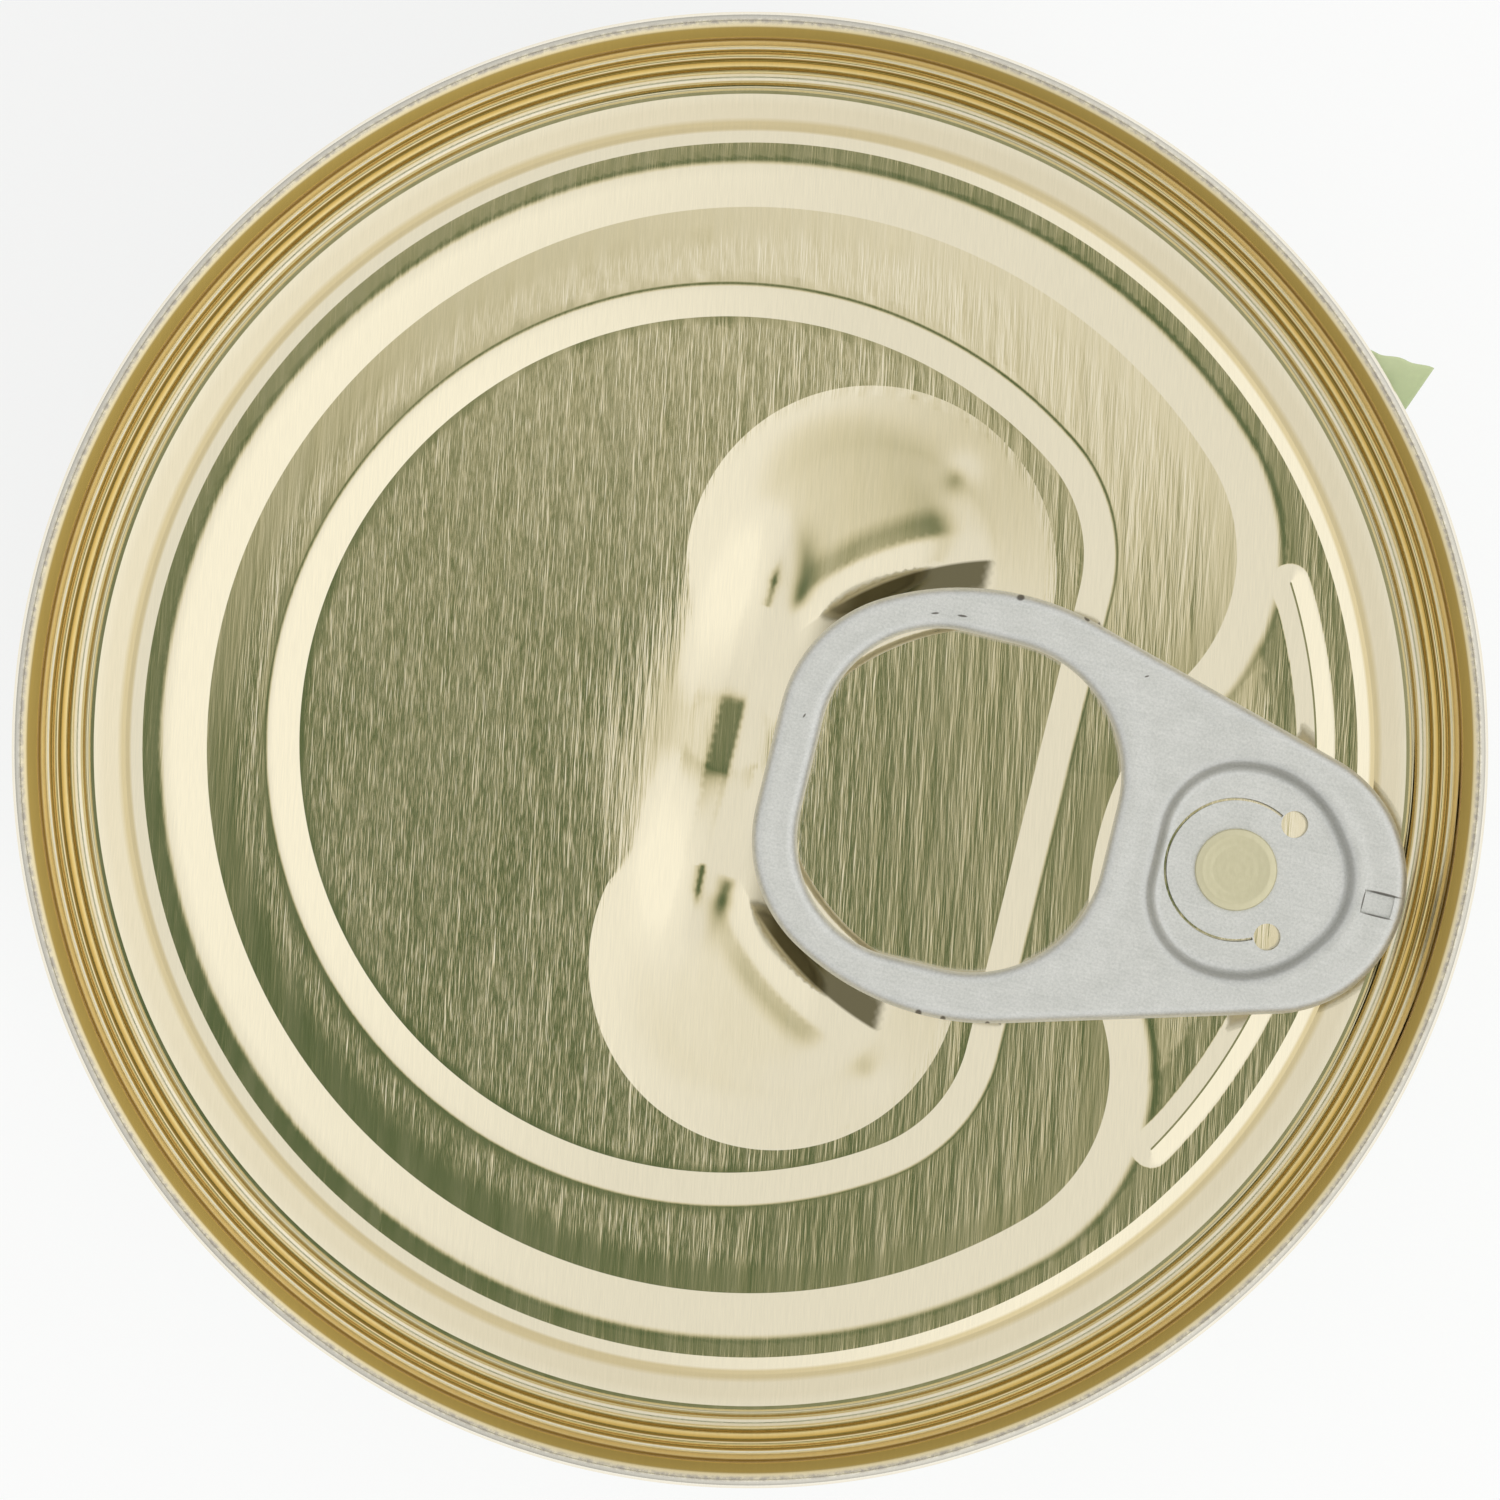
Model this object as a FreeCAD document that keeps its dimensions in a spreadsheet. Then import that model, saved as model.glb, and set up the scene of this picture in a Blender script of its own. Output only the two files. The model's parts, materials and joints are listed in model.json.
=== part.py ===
import FreeCAD, Part
import math
import os
import re
import Sketcher

# A round food can, shut by a double seam at each end, with a ring-pull top end and a paper label.
# Frame: +Z up, the origin at the middle of the base, +X from the can's axis to the nose of the tab.
# Sizes are in millimetres and degrees. Radii run in a chain from the body wall to the middle, and
# what belongs to the tab is placed from the rivet, which is placed from the tear line.

SIZES = [
    ("can_height", 110.0, "over both seams"),
    ("body_radius", 36.65, "outside of the body wall"),
    ("sheet", 0.2, "tinplate of the body wall and the chuck wall"),
    ("seam_overhang", 1.45, "seam beyond the body wall"),
    ("seam_thickness", 1.25, "outside of a seam to the top of the chuck wall"),
    ("seam_height", 3.0, "length of a seam along the can"),
    ("seam_crest", 0.15, "flat left between the two roundings of a seam"),
    ("end_depth", 6.2, "rim to the hidden face of an end"),
    ("chuck_lean", 0.3, "inside of the body wall to the foot of the chuck wall"),
    ("countersink_depth", 4.2, "rim to the floor of the countersink"),
    ("countersink_width", 0.7, "floor of the countersink"),
    ("shoulder_lean", 0.65, "floor of the countersink to the edge of the panel"),
    ("shoulder_round", 0.35, "rounding at the edge of the panel"),
    ("panel_depth", 3.0, "rim to the panel of the top end"),
    ("score_inset", 0.51, "edge of the panel to the tear line"),
    ("score_width", 0.14, "tear line, across its mouth"),
    ("score_depth", 0.08, "tear line"),
    ("moat_inset", 0.17, "tear line to the start of the ring groove"),
    ("moat_fall", 1.62, "ring groove, start to deepest line"),
    ("moat_kink", 0.35, "ring groove, deepest line to the change of slope"),
    ("moat_rise", 0.7, "ring groove, change of slope to its inner edge"),
    ("moat_depth", 0.5, "ring groove, at its deepest line"),
    ("moat_kink_depth", 0.28, "ring groove, at the change of slope"),
    ("ring_flat", 1.05, "flat between the ring groove and the first step"),
    ("bean_slope", 2.1, "width of the first step"),
    ("bean_drop", 0.6, "height of the first step"),
    ("bean_corner", 9.0, "corners of the first step, at its foot"),
    ("dent_ahead", 11.1, "rivet to the centre of the dent in the first step"),
    ("dent_radius", 18.35, "dent in the first step, at its foot"),
    ("dee_inset", 5.95, "foot of the first step to the foot of the second"),
    ("dee_shift", 1.2, "can's axis to the centre of the second step"),
    ("dee_behind", 11.25, "rivet to the straight side of the second step, at its foot"),
    ("dee_corner", 7.3, "corners of the second step, at its foot"),
    ("dee_slope", 1.7, "width of the second step"),
    ("dee_drop", 0.5, "height of the second step"),
    ("well_behind", 22.05, "rivet to the centres of the finger wells"),
    ("well_across", 10.6, "middle line to the centre of a finger well"),
    ("well_radius", 9.6, "outline of a finger well"),
    ("well_depth", 1.2, "finger well below the second step"),
    ("well_lift", 0.8, "centre of a well's hollow above the surface that it cuts"),
    ("saddle_behind", 26.7, "rivet to the centre of the saddle between the wells"),
    ("saddle_length", 4.3, "half length of the saddle"),
    ("saddle_width", 5.2, "half width of the saddle"),
    ("saddle_depth", 0.55, "saddle below the second step"),
    ("pad_behind", 24.9, "rivet to the far end of the pad between the wells"),
    ("pad_end_width", 3.3, "half width of the pad at that end"),
    ("pad_bend", 4.0, "end of the pad to the turn of its sides"),
    ("pad_bend_width", 6.5, "half width of the pad at that turn"),
    ("pad_length", 12.4, "whole pad"),
    ("pad_width", 11.3, "half width of the pad at its widest"),
    ("pad_slope", 1.2, "width of the pad's sloping sides"),
    ("ridge_inset", 4.87, "tear line to the crest of the ridge under the tab's nose"),
    ("ridge_half_width", 1.0, "crest of the ridge to its edge"),
    ("ridge_height", 0.45, "ridge above the panel"),
    ("ridge_half_angle", 31.0, "middle line to the centre of the ridge's end"),
    ("rivet_inset", 8.39, "tear line to the rivet"),
    ("rivet_seat_radius", 2.5, "raised seat that carries the tab"),
    ("rivet_seat_height", 0.5, "seat above the panel"),
    ("rivet_neck_radius", 1.55, "neck through the tab"),
    ("rivet_head_radius", 2.13, "flattened head"),
    ("rivet_head_height", 0.3, "thickness of the head"),
    ("rivet_play", 0.05, "neck to the wall of its hole in the tab"),
    ("tab_thickness", 1.3, "over the curled edges"),
    ("tab_band", 0.1, "straight band between the roundings of a curled edge"),
    ("tab_behind", 24.9, "rivet to the end of the ring"),
    ("tab_ahead", 8.9, "rivet to the tip of the nose"),
    ("tab_half_width", 11.18, "at the widest place"),
    ("tab_widest", 13.9, "rivet to the widest place"),
    ("tab_corner", 7.5, "corners at the end of the ring"),
    ("tab_side", 14.5, "bow of the ring's sides"),
    ("tab_nose", 7.0, "roundness of the nose"),
    ("rim_width", 2.3, "ring beside the finger hole, at its end"),
    ("hole_length", 15.85, "finger hole"),
    ("hole_half_width", 8.62, "finger hole"),
    ("hole_end_corner", 6.15, "finger hole, corners at the end of the ring"),
    ("hole_far_corner", 6.85, "finger hole, corners towards the rivet"),
    ("island_behind", 4.3, "rivet to the end of the pressed island"),
    ("island_ahead", 6.1, "rivet to the tip of the pressed island"),
    ("island_half_width", 5.6, "pressed island, at its widest"),
    ("island_widest", 0.2, "rivet to the island's widest place, towards the nose"),
    ("island_corner", 4.2, "corners of the island"),
    ("island_side", 5.7, "bow of the island's sides"),
    ("island_nose", 4.6, "roundness of the island's tip"),
    ("island_slope", 0.5, "width of the island's sloping edge"),
    ("island_plate", 0.6, "thickness left under the island"),
    ("slit_radius", 3.66, "middle line of the curved slit round the rivet"),
    ("slit_width", 0.14, "curved slit"),
    ("slit_opening", 58.0, "middle line to each end of the curved slit"),
    ("slit_hole_radius", 0.7, "round holes that end the slit"),
    ("slit_hole_ahead", 2.4, "rivet to those holes, along the tab"),
    ("slit_hole_across", 3.0, "rivet to those holes, across the tab"),
    ("notch_length", 2.2, "stamped notch at the tip of the nose"),
    ("notch_width", 1.2, "stamped notch"),
    ("notch_depth", 0.3, "stamped notch"),
    ("base_panel_depth", 2.6, "rim to the panel of the bottom end"),
    ("base_ring_inset", 3.8, "edge of the bottom panel to its first expansion ring"),
    ("base_ring_step", 8.0, "one expansion ring to the next"),
    ("base_ring_slope", 1.2, "width of an expansion ring's slope"),
    ("base_ring_drop", 0.5, "height of an expansion ring's slope"),
    ("label_gap", 0.9, "seam to the edge of the label"),
    ("paper", 0.1, "thickness of the label"),
    ("overlap_angle", 16.0, "how far the label overlaps itself"),
    ("label_end_angle", 40.4, "where the label's outer end lies"),
    ("corner_along", 7.0, "lifted corner, along the top edge"),
    ("corner_down", 7.0, "lifted corner, down the end edge"),
    ("corner_bend", 45.0, "how far the corner is bent out"),
    ("corner_root", 0.6, "crease that joins the corner, behind its fold"),
    ("corner_paper", 0.14, "thickness of the crease and of the corner, a little over the paper's"),
]

# Places and radii that follow from the sizes.
CHAINS = {
    "seam_radius": "body_radius + seam_overhang",
    "seam_roll": "(seam_thickness - seam_crest) / 2",
    "plug_radius": "body_radius - sheet",
    "countersink_outer": "plug_radius - chuck_lean",
    "countersink_inner": "countersink_outer - countersink_width",
    "shoulder_radius": "countersink_inner - shoulder_lean",
    "score_radius": "shoulder_radius - score_inset",
    "moat_start": "score_radius - score_width / 2 - moat_inset",
    "moat_floor": "moat_start - moat_fall",
    "moat_turn": "moat_floor - moat_kink",
    "moat_end": "moat_turn - moat_rise",
    "bean_radius": "moat_end - ring_flat - bean_slope",
    "dee_radius": "bean_radius - dee_inset",
    "ridge_radius": "score_radius - ridge_inset",
    "ridge_tube": "(ridge_half_width ^ 2 + ridge_height ^ 2) / (2 * ridge_height)",
    "rivet": "score_radius - rivet_inset",
    "panel": "can_height - panel_depth",
    "first_floor": "panel - bean_drop",
    "second_floor": "first_floor - dee_drop",
    "tab_base": "panel + rivet_seat_height",
    "tab_top": "tab_base + tab_thickness",
    "tab_edge": "(tab_thickness - tab_band) / 2",
    "island_top": "tab_base + island_plate",
    "base_edge": "shoulder_radius - base_ring_inset",
    "outer_layer": "body_radius + 1.5 * paper",
}

SHEET = "Sizes"
ORIGIN = X_AXIS = -1
Y_AXIS = -2
START, END, CENTRE = 1, 2, 3
NEAR = 1e-4
BASE_RINGS = 3
FOLD_STEPS = 4
CORNER_REACH = 10
Z_DIRECTION = FreeCAD.Vector(0, 0, 1)
Y_DIRECTION = FreeCAD.Vector(0, 1, 0)

doc = FreeCAD.newDocument("FoodCan")
sheet = doc.addObject("Spreadsheet::Sheet", SHEET)
for row, (alias, number, note) in enumerate(SIZES, start=1):
    sheet.set(f"A{row}", alias)
    sheet.set(f"B{row}", str(number))
    sheet.set(f"C{row}", note)
    sheet.setAlias(f"B{row}", alias)
doc.recompute()

ALIASES = {alias for alias, number, note in SIZES}


def cells(expression):
    """The expression with each name replaced by its cell, or by the chain of sizes it stands for."""

    def cell(match):
        word = match.group(0)
        if word in ALIASES:
            return f"{SHEET}.{word}"
        if word in CHAINS:
            return f"({cells(CHAINS[word])})"
        return word

    return re.sub(r"[a-z_]+", cell, expression)


def value(expression):
    """The number that an expression of sizes gives."""
    return float(sheet.evalExpression(cells(expression)))


def bind(item, **expressions):
    """Ties properties of an object to expressions of sizes. A double underscore stands for a dot."""
    for name, expression in expressions.items():
        item.setExpression(name.replace("__", "."), cells(expression))
    return item


# ---- sketches ----


def plane_of(body, role):
    """One of a body's own origin planes."""
    return [item for item in body.Origin.OriginFeatures if item.Role == role][0]


def new_body(name):
    """An empty body whose label names its file."""
    body = doc.addObject("PartDesign::Body", name)
    body.Label = name
    return body


def attach(item, body, role="XY_Plane", along="0", across="0", up="0", turn=0):
    """Fixes a sketch or a primitive to a body's plane, moved by expressions and turned about Z."""
    item.AttachmentSupport = [(plane_of(body, role), "")]
    item.MapMode = "FlatFace"
    axis = Z_DIRECTION if role == "XY_Plane" else Y_DIRECTION
    item.AttachmentOffset = FreeCAD.Placement(FreeCAD.Vector(), FreeCAD.Rotation(axis, turn))
    local = {"x": along, "y": across, "z": up}
    if role == "XZ_Plane":
        local = {"x": along, "y": up, "z": across}
    for axis_name, expression in local.items():
        if expression != "0":
            item.setExpression(f"AttachmentOffset.Base.{axis_name}", cells(expression))
    return item


def new_sketch(body, name, **place):
    """A sketch on one of the body's origin planes."""
    return attach(body.newObject("Sketcher::SketchObject", name), body, **place)


def hold(sketch, *constraint):
    """Adds a constraint. A last item that is text is an expression, which the constraint follows."""
    if isinstance(constraint[-1], str):
        index = sketch.addConstraint(Sketcher.Constraint(*constraint[:-1], value(constraint[-1])))
        sketch.setExpression(f"Constraints[{index}]", cells(constraint[-1]))
    else:
        sketch.addConstraint(Sketcher.Constraint(*constraint))


def hold_point(sketch, piece, end, x, y):
    """Ties a point to two expressions, measured from the sketch's origin."""
    if x == "0":
        hold(sketch, "PointOnObject", piece, end, Y_AXIS)
    else:
        hold(sketch, "DistanceX", ORIGIN, START, piece, end, x)
    if y == "0":
        hold(sketch, "PointOnObject", piece, end, X_AXIS)
    else:
        hold(sketch, "DistanceY", ORIGIN, START, piece, end, y)


def arc(centre, radius, first, last):
    """An arc, anticlockwise from one angle to another, in radians."""
    circle = Part.Circle(FreeCAD.Vector(*centre, 0), Z_DIRECTION, radius)
    return Part.ArcOfCircle(circle, first, last)


def line(start, end):
    """A straight stretch between two points of a sketch."""
    return Part.LineSegment(FreeCAD.Vector(*start, 0), FreeCAD.Vector(*end, 0))


def polygon(sketch, corners):
    """A closed outline of straight lines, whose corners are pairs of expressions."""
    points = [(value(x), value(y)) for x, y in corners]
    count = len(points)
    for index in range(count):
        sketch.addGeometry(line(points[index], points[(index + 1) % count]), False)
    for index, (x, y) in enumerate(corners):
        hold(sketch, "Coincident", (index - 1) % count, END, index, START)
        hold_point(sketch, index, START, x, y)
    return sketch


def smooth_loop(sketch, pieces):
    """Adds pieces that follow each other anticlockwise, each tangent to the next."""
    for piece in pieces:
        sketch.addGeometry(piece, False)
    for index in range(len(pieces)):
        hold(sketch, "Tangent", index, END, (index + 1) % len(pieces), START)


def bean(body, name, grow, up):
    """The first step's outline: a circle dented round the rivet, with rounded corners beside it."""
    sketch = new_sketch(body, name, up=up)
    radius_text = f"bean_radius + {grow}"
    corner_text = f"bean_corner + {grow}"
    dent_text = f"dent_radius - {grow}"
    dent_place = "rivet + dent_ahead"
    radius, corner, dent = value(radius_text), value(corner_text), value(dent_text)
    middle = value(dent_place)
    x = ((radius - corner) ** 2 - (dent + corner) ** 2 + middle**2) / (2 * middle)
    y = math.sqrt((radius - corner) ** 2 - x**2)
    outer = math.atan2(y, x)
    inner = math.atan2(y, middle - x)
    sketch.addGeometry(arc((0, 0), radius, outer, 2 * math.pi - outer), False)
    sketch.addGeometry(arc((x, -y), corner, -outer, inner), False)
    sketch.addGeometry(arc((middle, 0), dent, math.pi - inner, math.pi + inner), False)
    sketch.addGeometry(arc((x, y), corner, -inner, outer), False)
    hold(sketch, "Tangent", 0, END, 1, START)
    hold(sketch, "Tangent", 1, END, 2, END)
    hold(sketch, "Tangent", 2, START, 3, START)
    hold(sketch, "Tangent", 3, END, 0, START)
    hold(sketch, "Coincident", 0, CENTRE, ORIGIN, START)
    hold(sketch, "Radius", 0, radius_text)
    hold(sketch, "Radius", 1, corner_text)
    hold(sketch, "Equal", 1, 3)
    hold_point(sketch, 2, CENTRE, dent_place, "0")
    hold(sketch, "Radius", 2, dent_text)
    return sketch


def dee(body, name, grow, up):
    """The second step's outline: a circle with one straight side and rounded corners."""
    sketch = new_sketch(body, name, up=up)
    radius_text = f"dee_radius + {grow}"
    corner_text = f"dee_corner + {grow}"
    flat_text = f"rivet - dee_behind + {grow}"
    radius, corner, flat = value(radius_text), value(corner_text), value(flat_text)
    middle = -size("dee_shift")
    x = flat - corner
    y = math.sqrt((radius - corner) ** 2 - (x - middle) ** 2)
    turn = math.atan2(y, x - middle)
    smooth_loop(
        sketch,
        [
            line((flat, -y), (flat, y)),
            arc((x, y), corner, 0, turn),
            arc((middle, 0), radius, turn, 2 * math.pi - turn),
            arc((x, -y), corner, -turn, 0),
        ],
    )
    hold(sketch, "Vertical", 0)
    hold(sketch, "DistanceX", ORIGIN, START, 0, START, flat_text)
    hold(sketch, "Radius", 1, corner_text)
    hold(sketch, "Equal", 1, 3)
    hold_point(sketch, 2, CENTRE, "0 - dee_shift", "0")
    hold(sketch, "Radius", 2, radius_text)
    return sketch


def teardrop(body, name, part, grow, up):
    """The outline of the tab or of its island: a blunt end, bowed sides and a round nose."""
    sketch = new_sketch(body, name, up=up)
    ahead = "-" if part == "tab" else "+"
    end_text = f"rivet - {part}_behind - {grow}"
    corner_text = f"{part}_corner + {grow}"
    side_text = f"{part}_side + {grow}"
    nose_text = f"{part}_nose + {grow}"
    widest_text = f"rivet {ahead} {part}_widest"
    nose_place = f"rivet + {part}_ahead - {part}_nose"
    side_place = f"{part}_half_width - {part}_side"
    end, corner, side, nose = (value(text) for text in (end_text, corner_text, side_text, nose_text))
    widest, tip, side_y = value(widest_text), value(nose_place), value(side_place)
    corner_x = end + corner
    corner_y = side_y + math.sqrt((side - corner) ** 2 - (corner_x - widest) ** 2)
    span = math.hypot(tip - widest, side_y)
    lean = math.atan2(-side_y, tip - widest) + math.acos((side - nose) / span)
    back = math.atan2(corner_y - side_y, corner_x - widest)
    leave = (widest + side * math.cos(lean), side_y + side * math.sin(lean))
    meet = (tip + nose * math.cos(lean), nose * math.sin(lean))
    smooth_loop(
        sketch,
        [
            line((end, corner_y), (end, -corner_y)),
            arc((corner_x, -corner_y), corner, math.pi, 2 * math.pi - back),
            arc((widest, -side_y), side, -back, -lean),
            line((leave[0], -leave[1]), (meet[0], -meet[1])),
            arc((tip, 0), nose, -lean, lean),
            line(meet, leave),
            arc((widest, side_y), side, lean, back),
            arc((corner_x, corner_y), corner, back, math.pi),
        ],
    )
    hold(sketch, "Vertical", 0)
    hold(sketch, "DistanceX", ORIGIN, START, 0, START, end_text)
    hold(sketch, "Radius", 7, corner_text)
    hold(sketch, "Equal", 7, 1)
    hold(sketch, "Radius", 6, side_text)
    hold(sketch, "Equal", 6, 2)
    hold_point(sketch, 6, CENTRE, widest_text, side_place)
    hold_point(sketch, 2, CENTRE, widest_text, f"{part}_side - {part}_half_width")
    hold_point(sketch, 4, CENTRE, nose_place, "0")
    hold(sketch, "Radius", 4, nose_text)
    return sketch


def size(alias):
    """A cell's number."""
    return float(sheet.get(alias))


def finger_hole(body, name, up):
    """A rounded oblong, with larger corners towards the rivet."""
    sketch = new_sketch(body, name, up=up)
    start_text = "rivet - tab_behind + rim_width"
    stop_text = f"{start_text} + hole_length"
    start, stop, half = value(start_text), value(stop_text), size("hole_half_width")
    near, far = size("hole_end_corner"), size("hole_far_corner")
    right = math.pi / 2
    smooth_loop(
        sketch,
        [
            line((start, half - near), (start, near - half)),
            arc((start + near, near - half), near, 2 * right, 3 * right),
            line((start + near, -half), (stop - far, -half)),
            arc((stop - far, far - half), far, 3 * right, 4 * right),
            line((stop, far - half), (stop, half - far)),
            arc((stop - far, half - far), far, 0, right),
            line((stop - far, half), (start + near, half)),
            arc((start + near, half - near), near, right, 2 * right),
        ],
    )
    hold(sketch, "Vertical", 0)
    hold(sketch, "Vertical", 4)
    hold(sketch, "Horizontal", 2)
    hold(sketch, "Horizontal", 6)
    hold(sketch, "DistanceX", ORIGIN, START, 0, START, start_text)
    hold(sketch, "DistanceX", ORIGIN, START, 4, START, stop_text)
    hold(sketch, "DistanceY", ORIGIN, START, 6, START, "hole_half_width")
    hold(sketch, "DistanceY", ORIGIN, START, 2, START, "0 - hole_half_width")
    hold(sketch, "Radius", 1, "hole_end_corner")
    hold(sketch, "Equal", 1, 7)
    hold(sketch, "Radius", 3, "hole_far_corner")
    hold(sketch, "Equal", 3, 5)
    return sketch


# ---- features ----


def revolve(body, name, corners):
    """A solid of revolution about the can's axis, from corners given as radius and height."""
    sketch = polygon(new_sketch(body, f"{name}_profile", role="XZ_Plane"), corners)
    feature = body.newObject("PartDesign::Revolution", name)
    feature.Profile = sketch
    feature.ReferenceAxis = (sketch, ["V_Axis"])
    feature.Angle = 360
    doc.recompute()
    return feature


def ring_edges(feature, rings):
    """Names of a feature's circular edges that have one of the radii and heights given."""
    wanted = [(value(radius), value(up)) for radius, up in rings]
    names = []
    for index, edge in enumerate(feature.Shape.Edges, start=1):
        if not isinstance(edge.Curve, Part.Circle):
            continue
        here = (edge.Curve.Radius, edge.Curve.Center.z)
        if any(math.dist(here, ring) < NEAR for ring in wanted):
            names.append(f"Edge{index}")
    return names


def fillet(body, name, base, edges, radius):
    """Rounds edges of the feature before it."""
    feature = body.newObject("PartDesign::Fillet", name)
    feature.Base = (base, edges)
    bind(feature, Radius=radius)
    doc.recompute()
    return feature


def loft(body, name, kind, first, second):
    """A straight-sided loft between two outlines, added to the body or cut from it."""
    feature = body.newObject(f"PartDesign::{kind}Loft", name)
    feature.Profile = first
    feature.Sections = [second]
    feature.Ruled = True
    doc.recompute()
    return feature


def primitive(body, name, kind, turn=0, along="0", across="0", up="0", **sizes):
    """A PartDesign primitive at a place given by expressions."""
    feature = body.newObject(f"PartDesign::{kind}", name)
    attach(feature, body, along=along, across=across, up=up, turn=turn)
    bind(feature, **sizes)
    doc.recompute()
    return feature


# ---- the top end: seam, chuck wall, countersink, panel, wells and rivet, of one sheet ----


def make_top_end():
    """The end as a thick plug: what lies under its panel isn't seen."""
    body = new_body("top_end")
    floor = "can_height - countersink_depth"
    seam_foot = "can_height - seam_height"
    chuck_top = "seam_radius - seam_thickness"
    feature = revolve(
        body,
        "end_blank",
        [
            ("0", "panel"),
            ("moat_end", "panel"),
            ("moat_turn", "panel - moat_kink_depth"),
            ("moat_floor", "panel - moat_depth"),
            ("moat_start", "panel"),
            ("score_radius - score_width / 2", "panel"),
            ("score_radius", "panel - score_depth"),
            ("score_radius + score_width / 2", "panel"),
            ("shoulder_radius", "panel"),
            ("countersink_inner", floor),
            ("countersink_outer", floor),
            (chuck_top, "can_height"),
            ("seam_radius", "can_height"),
            ("seam_radius", seam_foot),
            ("plug_radius", seam_foot),
            ("plug_radius", "can_height - end_depth"),
            ("0", "can_height - end_depth"),
        ],
    )
    seam = [("seam_radius", "can_height"), (chuck_top, "can_height"), ("seam_radius", seam_foot)]
    feature = fillet(body, "seam_rounding", feature, ring_edges(feature, seam), "seam_roll")
    feet = [("countersink_inner", floor), ("countersink_outer", floor)]
    edges = ring_edges(feature, feet)
    feature = fillet(body, "countersink_rounding", feature, edges, "countersink_width / 2")
    edges = ring_edges(feature, [("shoulder_radius", "panel")])
    fillet(body, "shoulder_rounding", feature, edges, "shoulder_round")

    top = bean(body, "first_step_edge", "bean_slope", "panel")
    foot = bean(body, "first_step_foot", "0", "first_floor")
    loft(body, "first_step", "Subtractive", top, foot)
    make_ridge(body)
    top = dee(body, "second_step_edge", "dee_slope", "first_floor")
    foot = dee(body, "second_step_foot", "0", "second_floor")
    loft(body, "second_step", "Subtractive", top, foot)
    make_wells(body)
    make_rivet(body)
    return body


def make_ridge(body):
    """The curved ridge under the tab's nose: a slice of a torus with a ball at each end."""
    up = "panel + ridge_height - ridge_tube"
    primitive(
        body,
        "ridge",
        "AdditiveTorus",
        turn=-size("ridge_half_angle"),
        up=up,
        Radius1="ridge_radius",
        Radius2="ridge_tube",
        Angle3="2 * ridge_half_angle",
    )
    for name, sign in (("ridge_end_left", 1), ("ridge_end_right", -1)):
        primitive(
            body,
            name,
            "AdditiveSphere",
            along="ridge_radius * cos(ridge_half_angle * 1deg)",
            across=f"{sign} * ridge_radius * sin(ridge_half_angle * 1deg)",
            up=up,
            Radius="ridge_tube",
        )


def make_wells(body):
    """Two finger wells beside the ring's end, joined by a saddle, with a flat pad between them."""
    deep = "(well_depth + well_lift)"
    for name, sign in (("well_left", 1), ("well_right", -1)):
        primitive(
            body,
            name,
            "SubtractiveEllipsoid",
            along="rivet - well_behind",
            across=f"{sign} * well_across",
            up="second_floor + well_lift",
            Radius1=deep,
            Radius2=f"well_radius / sqrt(1 - (well_lift / {deep}) ^ 2)",
            Radius3=f"well_radius / sqrt(1 - (well_lift / {deep}) ^ 2)",
        )
    primitive(
        body,
        "saddle",
        "SubtractiveEllipsoid",
        along="rivet - saddle_behind",
        up="second_floor",
        Radius1="saddle_depth",
        Radius2="saddle_length",
        Radius3="saddle_width",
    )
    top = pad(body, "pad_top", "0", "second_floor")
    foot = pad(body, "pad_foot", "pad_slope", "second_floor - well_depth")
    loft(body, "pad", "Additive", foot, top)


def pad(body, name, grow, up):
    """The outline of the pad between the wells, which widens towards the rivet."""
    end = f"rivet - pad_behind - {grow}"
    bend = f"rivet - pad_behind + pad_bend - {grow}"
    far = "rivet - pad_behind + pad_length"
    half = [f"pad_end_width + {grow}", f"pad_bend_width + {grow}", f"pad_width + {grow}"]
    corners = [(end, half[0]), (end, f"0 - {half[0].replace('+', '-')}")]
    corners += [(bend, f"0 - {half[1].replace('+', '-')}"), (far, f"0 - {half[2].replace('+', '-')}")]
    corners += [(far, half[2]), (bend, half[1])]
    return polygon(new_sketch(body, name, up=up), corners)


def make_rivet(body):
    """The rivet is drawn from the panel itself: a seat, a neck through the tab and a flat head."""
    stages = [
        ("rivet_seat", "rivet_seat_radius", "panel", "rivet_seat_height"),
        ("rivet_neck", "rivet_neck_radius", "tab_base", "island_plate + rivet_head_height"),
        ("rivet_head", "rivet_head_radius", "island_top", "rivet_head_height"),
    ]
    for name, radius, up, height in stages:
        primitive(body, name, "AdditiveCylinder", along="rivet", up=up, Radius=radius, Height=height)


# ---- the bottom end ----


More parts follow.
